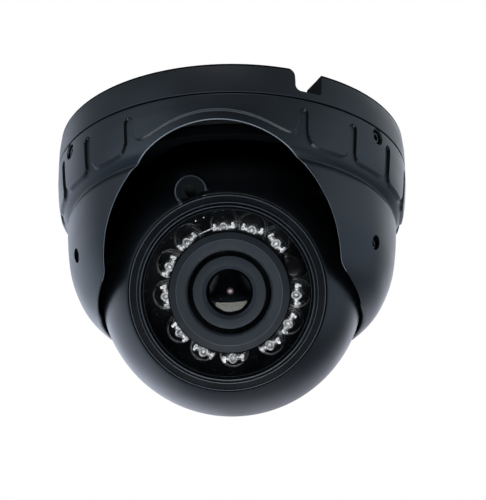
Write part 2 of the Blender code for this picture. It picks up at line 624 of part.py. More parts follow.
bm = bmesh.new()
add_box(bm, (-4.0, -4.0, MAIN_BOARD_Z[1] + GAP), (4.0, 4.0, -0.4))
image_sensor = solid("image_sensor", bm, tilt_axis, (ox, oy, 0))
finish(image_sensor, CHIP)
bm = bmesh.new()
add_box(bm, (-3.6, -3.6, 0.1), (3.6, 3.6, 0.7))
ir_filter = solid("ir_cut_filter", bm, tilt_axis, (ox, oy, 0))
finish(ir_filter, FILTER)
bm = bmesh.new()
add_box(bm, (-6.0, -6.0, -4.4), (6.0, 6.0, MAIN_BOARD_Z[0] - GAP))
cpu = solid("image_processor", bm, tilt_axis, (-3.0, 3.0, 0))
finish(cpu, CHIP)
bm = bmesh.new()
add_box(bm, (-5.0, -2.2, -7.4), (5.0, 2.2, MAIN_BOARD_Z[0] - GAP))
conn = solid("board_connector", bm, tilt_axis, (0.0, -9.6, 0))
bm = bmesh.new()
add_box(bm, (-4.2, -1.4, -9.0), (4.2, 1.4, -4.6))
boolean(conn, solid("connector_mouth", bm, tilt_axis, (0.0, -9.6, 0)))
finish(conn, WHITE_NYLON)
mic = lathe("microphone", [(0, 14.1), (1.55, 14.1), (1.55, 11.6), (0, 11.6)], 12, tilt_axis, (MIC[0], MIC[1], 0))
finish(mic, SCREW_STEEL)

# --------------------------------------------------------------------- lens
barrel = lathe("lens_barrel", [
    (6.9, 14.3), (7.1, 14.1), (7.1, 9.2), (5.85, 9.2), (5.85, 2.4), (4.0, 2.4), (4.0, 11.6), (4.6, 11.6), (4.6, 13.2),
    (5.0, 14.3)], 24, focus_axis)
finish(barrel, LENS_BLACK)
front_glass = lathe("lens_front_glass", [(0, 13.2), (1.8, 13.05), (3.2, 12.6), (4.3, 11.95), (3.6, 11.9), (0, 11.5)], 24, focus_axis)
finish(front_glass, LENS_GLASS)
rear_glass = lathe("lens_rear_glass", [(0, 4.6), (3.7, 4.4), (3.7, 3.2), (1.9, 2.8), (0, 2.6)], 20, focus_axis)
finish(rear_glass, LENS_GLASS)
lock = lathe("lens_lock_ring", [(7.3, 9.0), (7.3, 8.7), (6.15, 8.7), (6.15, 9.0)], 24, focus_axis)
finish(lock, BRASS)
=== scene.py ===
"""Looks of the small metal dome camera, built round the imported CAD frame.

Lengths below are in millimetres unless they end in _m; MM turns them into metres.
Azimuth is measured from the front (-Y) towards +X.
"""
import math

import bmesh
import bpy
import numpy as np
from mathutils import Euler, Matrix, Vector

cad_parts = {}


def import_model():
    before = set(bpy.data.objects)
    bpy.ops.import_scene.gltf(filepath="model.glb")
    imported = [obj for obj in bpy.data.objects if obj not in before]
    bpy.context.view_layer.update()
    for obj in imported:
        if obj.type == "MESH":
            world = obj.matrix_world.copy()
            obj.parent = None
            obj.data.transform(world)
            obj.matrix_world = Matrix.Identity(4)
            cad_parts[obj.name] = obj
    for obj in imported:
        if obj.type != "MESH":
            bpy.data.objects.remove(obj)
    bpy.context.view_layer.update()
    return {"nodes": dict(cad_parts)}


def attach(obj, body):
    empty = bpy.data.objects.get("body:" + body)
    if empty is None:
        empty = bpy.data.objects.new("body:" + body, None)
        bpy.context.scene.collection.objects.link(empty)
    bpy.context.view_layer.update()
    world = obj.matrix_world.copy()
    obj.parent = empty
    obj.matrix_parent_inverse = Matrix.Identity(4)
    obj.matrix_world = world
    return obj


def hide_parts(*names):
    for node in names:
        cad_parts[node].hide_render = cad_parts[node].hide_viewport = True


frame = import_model()
nodes = frame["nodes"]
MM = 0.001
scene = bpy.context.scene

BALL_Z = -30.7
BALL_R = 26.15
BALL = (Matrix.Translation((0, 0, BALL_Z * MM))
        @ Euler((math.radians(119.75), 0, math.radians(2.5)), 'XYZ').to_matrix().to_4x4())
OPTIC = (0.2, -0.25)


# ================================================================= mesh tools
def make(name, verts, faces):
    me = bpy.data.meshes.new(name)
    me.from_pydata([tuple(v) for v in verts], [], [tuple(int(i) for i in f) for f in faces])
    me.validate()
    ob = bpy.data.objects.new(name, me)
    scene.collection.objects.link(ob)
    return ob


def from_bm(name, bm):
    me = bpy.data.meshes.new(name)
    bm.to_mesh(me)
    bm.free()
    ob = bpy.data.objects.new(name, me)
    scene.collection.objects.link(ob)
    return ob


def outward(ob):
    bm = bmesh.new()
    bm.from_mesh(ob.data)
    bmesh.ops.recalc_face_normals(bm, faces=bm.faces)
    bm.to_mesh(ob.data)
    bm.free()
    return ob


def soften(ob, deg=32.0, weighted=True):
    """Smooth shading with sharp edges kept above an angle; flat faces stay flat."""
    ob.data.shade_smooth()
    ob.data.set_sharp_from_angle(angle=math.radians(deg))
    if weighted:
        md = ob.modifiers.new("wn", 'WEIGHTED_NORMAL')
        md.mode = 'FACE_AREA'
        md.weight = 50
        md.keep_sharp = True
        bake(ob)
    return ob


def fillet(points, n=4, closed=True):
    """Corner list (r, z, radius) -> polyline with rounded corners."""
    pts = [(p[0], p[1], p[2] if len(p) > 2 else 0.0) for p in points]
    out, count = [], len(pts)
    for i, (r, z, rad) in enumerate(pts):
        if rad <= 0 or (not closed and i in (0, count - 1)):
            out.append((r, z))
            continue
        b = Vector((r, z))
        u = Vector(pts[i - 1][:2]) - b
        v = Vector(pts[(i + 1) % count][:2]) - b
        lu, lv = u.length, v.length
        u.normalize()
        v.normalize()
        half = math.acos(max(-1, min(1, u.dot(v)))) / 2
        if half > math.radians(88.5):
            out.append((r, z))
            continue
        t = min(rad / math.tan(half), 0.48 * lu, 0.48 * lv)
        rad = t * math.tan(half)
        c = b + (u + v).normalized() * (rad / math.sin(half))
        s, e = b + u * t - c, b + v * t - c
        a0, a1 = math.atan2(s.y, s.x), math.atan2(e.y, e.x)
        d = (a1 - a0 + math.pi) % math.tau - math.pi
        steps = max(1, min(n, int(math.ceil(abs(d) / math.radians(14)))))
        for k in range(steps + 1):
            a = a0 + d * k / steps
            out.append((c.x + rad * math.cos(a), c.y + rad * math.sin(a)))
    return out


def revolve(name, prof, seg, matrix=None, at=(0, 0), wobble=None):
    """Turned shape round Z from (r, z) points in mm; closed loop unless both ends lie on the axis."""
    verts, rings = [], []
    ang = np.arange(seg) * math.tau / seg
    for r, z in prof:
        if r < 1e-6:
            rings.append([len(verts)])
            verts.append((0, 0, z))
        else:
            rings.append(list(range(len(verts), len(verts) + seg)))
            verts += [(r * math.cos(a), r * math.sin(a), z) for a in ang]
    open_ends = len(rings[0]) == 1 and len(rings[-1]) == 1
    pairs = list(zip(rings, rings[1:]))
    if not open_ends:
        pairs.append((rings[-1], rings[0]))
    faces = []
    for a, b in pairs:
        if len(a) == 1 and len(b) == 1:
            continue
        for k in range(seg):
            j = (k + 1) % seg
            if len(a) == 1:
                faces.append((a[0], b[k], b[j]))
            elif len(b) == 1:
                faces.append((a[k], b[0], a[j]))
            else:
                faces.append((a[k], b[k], b[j], a[j]))
    v = np.array(verts, float)
    v[:, 0] += at[0]
    v[:, 1] += at[1]
    ob = make(name, v * MM, faces)
    outward(ob)
    if matrix is not None:
        ob.data.transform(matrix)
    return ob


def bake(ob):
    dg = bpy.context.evaluated_depsgraph_get()
    me = bpy.data.meshes.new_from_object(ob.evaluated_get(dg))
    ob.modifiers.clear()
    old = ob.data
    ob.data = me
    bpy.data.meshes.remove(old)
    return ob


def combine(ob, other, op='DIFFERENCE', solver='EXACT'):
    md = ob.modifiers.new("b", 'BOOLEAN')
    md.operation = op
    md.object = other
    md.solver = solver
    bake(ob)
    bpy.data.objects.remove(other, do_unlink=True)
    return ob


def rod(bm, r, z0, z1, seg, matrix=None, at=(0, 0), r2=None):
    m = Matrix.Translation((at[0] * MM, at[1] * MM, (z0 + z1) / 2 * MM))
    if matrix is not None:
        m = matrix @ m
    return bmesh.ops.create_cone(bm, cap_ends=True, segments=seg, radius1=r * MM,
                                 radius2=(r if r2 is None else r2) * MM, depth=abs(z1 - z0) * MM, matrix=m)


def box(bm, lo, hi, matrix=None):
    c = [(a + b) / 2 * MM for a, b in zip(lo, hi)]
    s = [(b - a) * MM for a, b in zip(lo, hi)]
    m = Matrix.Translation(c) @ Matrix.Diagonal((*s, 1.0))
    if matrix is not None:
        m = matrix @ m
    return bmesh.ops.create_cube(bm, size=1.0, matrix=m)


def prism(name, outline, levels, matrix=None):
    """Closed prism over an outline (mm); levels are (z, inset) from bottom to top."""
    p = np.array(outline, float)
    t = np.roll(p, -1, 0) - np.roll(p, 1, 0)
    t /= np.linalg.norm(t, axis=1)[:, None]
    nrm = np.stack([t[:, 1], -t[:, 0]], 1)
    area = 0.5 * np.sum(p[:, 0] * np.roll(p[:, 1], -1) - np.roll(p[:, 0], -1) * p[:, 1])
    if area < 0:
        nrm = -nrm
    verts, faces, n = [], [], len(p)
    for z, inset in levels:
        q = p - nrm * inset
        verts += [(a, b, z) for a, b in q]
    for k in range(len(levels) - 1):
        for i in range(n):
            j = (i + 1) % n
            faces.append((k * n + i, k * n + j, (k + 1) * n + j, (k + 1) * n + i))
    faces.append(tuple(range(n - 1, -1, -1)))
    faces.append(tuple((len(levels) - 1) * n + i for i in range(n)))
    ob = make(name, np.array(verts) * MM, faces)
    outward(ob)
    if matrix is not None:
        ob.data.transform(matrix)
    return ob


def round_z(az):
    return Matrix.Rotation(math.radians(az), 4, 'Z')


def radial(az, z=0.0):
    """Frame whose +Z points out of the body at azimuth az and height z (mm)."""
    return (round_z(az) @ Matrix.Translation((0, 0, z * MM))
            @ Matrix.Rotation(math.radians(90.0), 4, 'X'))


def around(r, az):
    return r * math.sin(math.radians(az)), -r * math.cos(math.radians(az))


def polar(r, deg):
    return r * math.cos(math.radians(deg)), r * math.sin(math.radians(deg))


def curve(xs, ys):
    """Smooth monotone interpolation through points with xs increasing."""
    xs, ys = np.array(xs, float), np.array(ys, float)
    h = np.diff(xs)
    d = np.diff(ys) / h
    m = np.zeros(len(xs))
    m[0], m[-1] = d[0], d[-1]
    for i in range(1, len(xs) - 1):
        if d[i - 1] * d[i] > 0:
            w1, w2 = 2 * h[i] + h[i - 1], h[i] + 2 * h[i - 1]
            m[i] = (w1 + w2) / (w1 / d[i - 1] + w2 / d[i])

    def f(x):
        x = np.asarray(x, float)
        k = np.clip(np.searchsorted(xs, x, side='right') - 1, 0, len(h) - 1)
        t = (x - xs[k]) / h[k]
        tc = np.clip(t, 0, 1)
        y = ((1 + 2 * tc) * (1 - tc) ** 2 * ys[k] + tc * (1 - tc) ** 2 * h[k] * m[k]
             + tc ** 2 * (3 - 2 * tc) * ys[k + 1] + tc ** 2 * (tc - 1) * h[k] * m[k + 1])
        y = np.where(t < 0, ys[k] + m[k] * (x - xs[k]), y)
        return np.where(t > 1, ys[k + 1] + m[k + 1] * (x - xs[k + 1]), y)
    return f


def step01(x):
    x = np.clip(x, 0.0, 1.0)
    return x * x * (3 - 2 * x)


def smin(a, b, k):
    h = np.clip(0.5 + 0.5 * (b - a) / k, 0, 1)
    return b * (1 - h) + a * h - k * h * (1 - h)


# ================================================================== materials
class Mat:
    def __init__(self, name):
        self.mat = bpy.data.materials.new(name)
        self.mat.use_nodes = True
        self.t = self.mat.node_tree
        self.bsdf = self.t.nodes["Principled BSDF"]
        self.out = self.t.nodes["Material Output"]
        self.co = self.n('ShaderNodeTexCoord').outputs['Object']

    def n(self, kind, **kw):
        node = self.t.nodes.new(kind)
        for k, v in kw.items():
            setattr(node, k, v)
        return node

    def link(self, a, b):
        self.t.links.new(a, b)
        return b

    def noise(self, size_mm, detail=2.0, rough=0.5, stretch=None, kind='noise'):
        co = self.co
        if stretch is not None:
            mp = self.n('ShaderNodeMapping')
            mp.inputs['Scale'].default_value = stretch
            self.link(co, mp.inputs['Vector'])
            co = mp.outputs[0]
        if kind == 'noise':
            t = self.n('ShaderNodeTexNoise')
            t.inputs['Detail'].default_value = detail
            t.inputs['Roughness'].default_value = rough
        else:
            t = self.n('ShaderNodeTexVoronoi')
        t.inputs['Scale'].default_value = 1.0 / (size_mm * MM)
        self.link(co, t.inputs['Vector'])
        return t.outputs[0]

    def span(self, src, a, b, lo, hi, smooth=False):
        m = self.n('ShaderNodeMapRange')
        if smooth:
            m.interpolation_type = 'SMOOTHSTEP'
        m.inputs['From Min'].default_value = a
        m.inputs['From Max'].default_value = b
        m.inputs['To Min'].default_value = lo
        m.inputs['To Max'].default_value = hi
        self.link(src, m.inputs['Value'])
        return m.outputs[0]

    def blend(self, fac, c1, c2):
        m = self.n('ShaderNodeMix', data_type='RGBA')
        self.link(fac, m.inputs['Factor'])
        for sock, c in ((m.inputs[6], c1), (m.inputs[7], c2)):
            if isinstance(c, tuple):
                sock.default_value = (*c, 1.0)
            else:
                self.link(c, sock)
        return m.outputs[2]

    def math(self, op, a, b):
        m = self.n('ShaderNodeMath', operation=op)
        for sock, v in ((m.inputs[0], a), (m.inputs[1], b)):
            if isinstance(v, (int, float)):
                sock.default_value = v
            else:
                self.link(v, sock)
        return m.outputs[0]

    def bump(self, heights, edge_mm=0.0):
        """heights: [(socket, depth in mm)], stacked; edge_mm rounds the shaded edges."""
        prev = None
        if edge_mm:
            bev = self.n('ShaderNodeBevel', samples=6)
            bev.inputs['Radius'].default_value = edge_mm * MM
            prev = bev.outputs[0]
        for src, depth in heights:
            b = self.n('ShaderNodeBump')
            b.inputs['Strength'].default_value = 1.0
            b.inputs['Distance'].default_value = depth * MM
            self.link(src, b.inputs['Height'])
            if prev is not None:
                self.link(prev, b.inputs['Normal'])
            prev = b.outputs[0]
        self.link(prev, self.bsdf.inputs['Normal'])
        return prev

    def set(self, **kw):
        names = {'color': 'Base Color', 'rough': 'Roughness', 'metal': 'Metallic', 'ior': 'IOR',
                 'coat': 'Coat Weight', 'coat_rough': 'Coat Roughness', 'spec': 'Specular IOR Level',
                 'trans': 'Transmission Weight', 'sheen': 'Sheen Weight', 'alpha': 'Alpha'}
        for k, v in kw.items():
            sock = self.bsdf.inputs[names[k]]
            if isinstance(v, (int, float)):
                sock.default_value = v
            elif isinstance(v, tuple):
                sock.default_value = (*v, 1.0)
            else:
                self.link(v, sock)
        return self


def paint(name, dark, light, rough, grain=0.16, depth=0.0016, edge=0.0, spec=0.5):
    """Satin powder coat: fine orange peel, faint cloudy tone and roughness, a few fine specks."""
    m = Mat(name)
    cloud = m.noise(9.0, 3.0)
    fine = m.noise(grain, 2.0, 0.6)
    peel = m.noise(grain * 5.0, 1.0)
    speck = m.noise(0.7, 0.0, kind='voronoi')
    tone = m.math('ADD', m.span(cloud, 0.3, 0.7, 0.0, 0.7), m.span(fine, 0.35, 0.75, 0.0, 0.3))
    col = m.blend(tone, dark, light)
    dot = m.span(speck, 0.035, 0.06, 1.0, 0.0)
    rare = m.span(m.noise(3.1, 0.0), 0.62, 0.66, 0.0, 0.5)
    col = m.blend(m.math('MULTIPLY', dot, rare), col, tuple(min(1.0, c * 3.0) for c in light))
    ro = m.math('ADD', m.span(cloud, 0.3, 0.7, rough - 0.03, rough + 0.03), m.span(fine, 0.3, 0.7, -0.02, 0.02))
    m.set(color=col, rough=ro, spec=spec)
    m.bump([(peel, depth * 2.0), (fine, depth)], edge)
    return m.mat


def metal(name, c1, c2, rough, scratch=(1, 1, 12), edge=0.0, grain=0.25):
    m = Mat(name)
    brush = m.noise(grain, 3.0, 0.6, stretch=scratch)
    cloud = m.noise(2.5, 2.0)
    m.set(color=m.blend(m.span(cloud, 0.3, 0.7, 0, 1), c1, c2), metal=1.0,
          rough=m.span(brush, 0.3, 0.7, rough * 0.75, rough * 1.3))
    m.bump([(brush, 0.002)], edge)
    return m.mat


def plastic(name, c1, c2, rough, grain=0.3, depth=0.004, edge=0.0):
    m = Mat(name)
    fine = m.noise(grain, 3.0, 0.6)
    cloud = m.noise(6.0, 2.0)
    m.set(color=m.blend(m.span(cloud, 0.3, 0.7, 0, 1), c1, c2), rough=m.span(fine, 0.3, 0.7, rough - 0.06, rough + 0.06))
    m.bump([(fine, depth)], edge)
    return m.mat


def bright(name, c1, c2, rough, low, high, glow=(0.97, 0.98, 1.0)):
    """Silver inside a clear LED, with painted light: emission in blotchy patches makes it glow brighter than its
    surroundings.
    """
    m = Mat(name)
    fine = m.noise(0.2, 2.0, 0.6)
    glow_patch = m.noise(0.55, 2.0, 0.6)
    m.set(color=m.blend(m.span(fine, 0.3, 0.7, 0, 1), c1, c2), rough=m.span(fine, 0.3, 0.7, rough - 0.05, rough + 0.05))
    m.bsdf.inputs['Emission Color'].default_value = (*glow, 1.0)
    m.link(m.span(glow_patch, 0.42, 0.58, low, high), m.bsdf.inputs['Emission Strength'])
    m.bump([(fine, 0.002)])
    return m.mat


def clear_glass(name, tint, rough=0.0, dust=0.0, ior=1.5, gloss=(1, 1, 1), power=1.0, painted_rim=0.0):
    """Flat clear glass: see-through with a Fresnel reflection, and a little dust."""
    m = Mat(name)
    m.t.nodes.remove(m.bsdf)
    tr = m.n('ShaderNodeBsdfTransparent')
    tr.inputs[0].default_value = (*tint, 1)
    gl = m.n('ShaderNodeBsdfGlossy')
    gl.inputs['Color'].default_value = (*gloss, 1)
    gl.inputs['Roughness'].default_value = rough
    fr = m.n('ShaderNodeFresnel')
    fr.inputs[0].default_value = ior
    f = m.math('MULTIPLY', fr.outputs[0], power)
    mix = m.n('ShaderNodeMixShader')
    m.link(f, mix.inputs[0])
    m.link(tr.outputs[0], mix.inputs[1])
    m.link(gl.outputs[0], mix.inputs[2])
    last = mix.outputs[0]
    # painted highlight: a pale diffuse rim mixed in where the surface turns away from view, in noisy patches
    if painted_rim:
        lw = m.n('ShaderNodeLayerWeight')
        lw.inputs[0].default_value = 0.5
        amount = m.math('MULTIPLY', m.span(lw.outputs['Facing'], 0.70, 0.93, 0.0, painted_rim, smooth=True),
                        m.span(m.noise(1.1, 2.0), 0.38, 0.62, 0.15, 1.0))
        df = m.n('ShaderNodeBsdfDiffuse')
        df.inputs[0].default_value = (0.80, 0.81, 0.82, 1)
        mix3 = m.n('ShaderNodeMixShader')
        m.link(amount, mix3.inputs[0])
        m.link(last, mix3.inputs[1])
        m.link(df.outputs[0], mix3.inputs[2])
        last = mix3.outputs[0]
    if dust:
        df = m.n('ShaderNodeBsdfDiffuse')
        df.inputs[0].default_value = (0.55, 0.56, 0.58, 1)
        spots = m.span(m.noise(0.75, 0.0, kind='voronoi'), 0.05, 0.11, 1.0, 0.0)
        rare = m.span(m.noise(2.2, 1.0), 0.56, 0.66, 0.0, 1.0)
        haze = m.span(m.noise(5.0, 3.0), 0.35, 0.75, 0.0, 0.004)
        amount = m.math('MAXIMUM', m.math('MULTIPLY', m.math('MULTIPLY', spots, rare), dust), haze)
        mix2 = m.n('ShaderNodeMixShader')
        m.link(amount, mix2.inputs[0])
        m.link(last, mix2.inputs[1])
        m.link(df.outputs[0], mix2.inputs[2])
        last = mix2.outputs[0]
    m.link(last, m.out.inputs['Surface'])
    return m.mat


def solid_glass(name, color, ior=1.5, rough=0.0):
    """Refracting clear resin or glass that lets direct light in."""
    m = Mat(name)
    m.t.nodes.remove(m.bsdf)
    g = m.n('ShaderNodeBsdfGlass')
    g.inputs['IOR'].default_value = ior
    swirl = m.noise(1.4, 2.0)
    m.link(m.span(swirl, 0.35, 0.75, rough, rough + 0.02), g.inputs['Roughness'])
    g.inputs['Color'].default_value = (*color, 1)
    tr = m.n('ShaderNodeBsdfTransparent')
    tr.inputs[0].default_value = (*[c * 0.9 for c in color], 1)
    lp = m.n('ShaderNodeLightPath')
    mix = m.n('ShaderNodeMixShader')
    m.link(lp.outputs['Is Shadow Ray'], mix.inputs[0])
    m.link(g.outputs[0], mix.inputs[1])
    m.link(tr.outputs[0], mix.inputs[2])
    m.link(mix.outputs[0], m.out.inputs['Surface'])
    return m.mat


def circuit(name, mask, copper, gold):
    """Solder mask with faint copper traces and dust-fine weave under it."""
    m = Mat(name)
    br = m.n('ShaderNodeTexBrick')
    br.inputs['Scale'].default_value = 1.0 / (1.6 * MM)
    br.inputs['Mortar Size'].default_value = 0.06
    br.inputs['Color1'].default_value = (0, 0, 0, 1)
    br.inputs['Color2'].default_value = (0, 0, 0, 1)
    br.inputs['Mortar'].default_value = (1, 1, 1, 1)
    m.link(m.co, br.inputs['Vector'])
    vo = m.n('ShaderNodeTexVoronoi', feature='DISTANCE_TO_EDGE')
    vo.inputs['Scale'].default_value = 1.0 / (1.9 * MM)
    m.link(m.co, vo.inputs['Vector'])
    trace = m.span(vo.outputs[0], 0.03, 0.06, 1.0, 0.0)
    col = m.blend(trace, mask, copper)
    pads = m.span(m.noise(1.3, 0.0, kind='voronoi'), 0.10, 0.13, 1.0, 0.0)
    col = m.blend(pads, col, gold)
    fine = m.noise(0.12, 2.0)
    m.set(color=col, rough=m.span(fine, 0.3, 0.7, 0.3, 0.42), metal=m.math('MULTIPLY', pads, 0.9))
    m.bump([(trace, 0.02), (fine, 0.002)])
    return m.mat


M_PAINT = paint("satin_black_paint", (0.0105, 0.0125, 0.0150), (0.0150, 0.0175, 0.0205), 0.36)
M_BASE = paint("satin_black_base", (0.0105, 0.0125, 0.0150), (0.0150, 0.0175, 0.0205), 0.38, edge=0.12)
M_BALL = paint("satin_black_ball", (0.0036, 0.0042, 0.0052), (0.0056, 0.0064, 0.0078), 0.35, edge=0.12)
M_BEZEL = paint("satin_black_bezel", (0.0052, 0.0060, 0.0074), (0.0080, 0.0092, 0.0110), 0.26)
M_SHROUD = paint("shroud_rubber", (0.0400, 0.0450, 0.0530), (0.0640, 0.0700, 0.0800), 0.46, grain=0.13, depth=0.0060, spec=0.5)
M_BARREL = paint("lens_anodised", (0.0400, 0.0450, 0.0530), (0.0470, 0.0525, 0.0610), 0.44, grain=0.1, depth=0.0010)
M_DARK = paint("black_inner_finish", (0.0035, 0.0037, 0.0040), (0.0050, 0.0053, 0.0057), 0.55, spec=0.25)
# painted shade: a near-black copy of the paint, put on insides, hollows and thin outlines where shade falls
M_PAINTED_SHADE = paint("painted_shade_black", (0.0022, 0.0025, 0.0029), (0.0036, 0.0040, 0.0046), 0.70, spec=0.03)
# painted highlight: a light grey copy of the paint for thin rounded edges that catch the light
M_PAINTED_HIGHLIGHT = paint("painted_highlight_edge", (0.200, 0.215, 0.235), (0.290, 0.305, 0.330), 0.28, spec=0.8)
M_SLOT = paint("slot_shadow_wall", (0.0030, 0.0034, 0.0040), (0.0048, 0.0054, 0.0062), 0.60, spec=0.12)
M_FACE = paint("boss_face", (0.0030, 0.0034, 0.0040), (0.0044, 0.0050, 0.0058), 0.50, spec=0.15)
# painted highlight: a lighter, glossier copy of the black paint for ridge tops and rims
M_CREST_HIGHLIGHT = paint("painted_highlight_crest", (0.050, 0.055, 0.064), (0.085, 0.092, 0.105), 0.28, spec=0.7)
# painted shade: a darker copy of the shroud rubber for its shoulders
M_SHROUD_SHADE = paint("shroud_painted_shade", (0.0210, 0.0240, 0.0290), (0.0360, 0.0400, 0.0470), 0.50, grain=0.13, depth=0.0060, spec=0.4)
M_SET = metal("black_oxide_screw", (0.085, 0.088, 0.094), (0.14, 0.145, 0.15), 0.30, edge=0.05)
M_ZINC = metal("zinc_screw", (0.55, 0.56, 0.58), (0.66, 0.66, 0.66), 0.28, edge=0.08)
M_BRASS = metal("turned_brass", (0.55, 0.40, 0.15), (0.66, 0.50, 0.22), 0.3)
# painted light: lead frame, reflector cup and cup wall glow by emission, standing in for the lit silver inside the
# LEDs; the cup wall glows dimmer
M_FRAME_GLOW = bright("silver_lead_frame_painted_glow", (0.84, 0.85, 0.84), (0.94, 0.94, 0.93), 0.24, 0.08, 0.86)
M_CUP_GLOW = bright("reflector_cup_painted_glow", (0.55, 0.55, 0.54), (0.70, 0.70, 0.69), 0.26, 0.14, 0.58)
M_CUPWALL_GLOW = bright("cup_wall_dim_painted_glow", (0.22, 0.22, 0.21), (0.34, 0.34, 0.33), 0.35, 0.01, 0.17)
M_RUBBER = plastic("black_seal_rubber", (0.010, 0.010, 0.011), (0.017, 0.017, 0.018), 0.7)
M_NYLON = plastic("black_nylon", (0.012, 0.012, 0.013), (0.02, 0.02, 0.022), 0.5, edge=0.1)
M_WHITE = plastic("white_nylon", (0.66, 0.64, 0.58), (0.74, 0.72, 0.68), 0.45, edge=0.1)
M_CHIP = plastic("chip_package", (0.012, 0.012, 0.013), (0.02, 0.02, 0.021), 0.55, grain=0.1)
M_SENSOR = plastic("dark_sensor_epoxy", (0.0065, 0.0050, 0.0050), (0.010, 0.008, 0.008), 0.22, grain=1.5, depth=0.002)
M_LEDBOARD = circuit("black_led_board", (0.0035, 0.0040, 0.0042), (0.0065, 0.0072, 0.0074), (0.30, 0.27, 0.20))
M_BOARD = circuit("green_main_board", (0.004, 0.045, 0.018), (0.008, 0.085, 0.032), (0.55, 0.42, 0.16))
M_WINDOW = clear_glass("clear_window", (0.975, 0.98, 0.985), 0.0, dust=0.40, power=0.35)
# LED resin with a painted highlight round its outline
M_DOME = clear_glass("led_resin_with_painted_highlight", (0.96, 0.965, 0.97), 0.03, ior=1.52, power=1.0, painted_rim=0.9)
M_LENS = clear_glass("coated_lens", (0.55, 0.56, 0.60), 0.0, gloss=(0.96, 0.93, 0.85), ior=1.5, power=1.35)
# painted glint: the lens pupil glows pink by emission and its ring glows dim, standing in for a reflection
M_PUPIL_GLINT = bright("pupil_painted_glint", (0.80, 0.50, 0.50), (0.90, 0.66, 0.66), 0.16, 1.5, 2.6, (1.0, 0.66, 0.66))
M_PUPIL_RING_GLOW = bright("pupil_ring_painted_glow", (0.16, 0.12, 0.11), (0.22, 0.17, 0.15), 0.3, 0.04, 0.26, (1.0, 0.85, 0.78))
M_FILTER = clear_glass("filter_glass", (0.3, 0.6, 0.65), 0.02, gloss=(1.0, 0.5, 0.5), ior=1.8)


def wear(ob, mat):
    ob.data.materials.clear()
    ob.data.materials.append(mat)
    ob.data.polygons.foreach_set("material_index", np.zeros(len(ob.data.polygons), np.int32))
    return ob


def cut_at(ob, z):
    """Adds an edge loop round the piece at height z (mm), so a second material, such as painted shade, can stop there.
    """
    bm = bmesh.new()
    bm.from_mesh(ob.data)
    bmesh.ops.bisect_plane(bm, geom=list(bm.verts) + list(bm.edges) + list(bm.faces), dist=1e-7,
                           plane_co=(0, 0, z * MM), plane_no=(0, 0, 1))
    bm.to_mesh(ob.data)
    bm.free()
    return ob


def line_dark(ob, mat, test, matrix=None):
    """Gives the faces picked by test(r, z, centre) in the piece's own frame (mm) a second material; below it mostly
    lays painted shade, painted highlights and painted glow.
    """
    me = ob.data
    n = len(me.polygons)
    c = np.zeros(n * 3)
    me.polygons.foreach_get("center", c)
    c = c.reshape(-1, 3)
    if matrix is not None:
        inv = np.array(matrix.inverted())
        c = c @ inv[:3, :3].T + inv[:3, 3]
    c = c / MM
    pick = test(np.hypot(c[:, 0], c[:, 1]), c[:, 2], c)
    me.materials.append(mat)
    index = np.zeros(n, np.int32)
    me.polygons.foreach_get("material_index", index)
    index[pick] = len(me.materials) - 1
    me.polygons.foreach_set("material_index", index)
    me.update()
    return ob


def add(ob, body, mat, *replaces, slot=None):
    wear(ob, mat)
    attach(ob, body)
    if replaces:
        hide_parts(*replaces)
    return ob


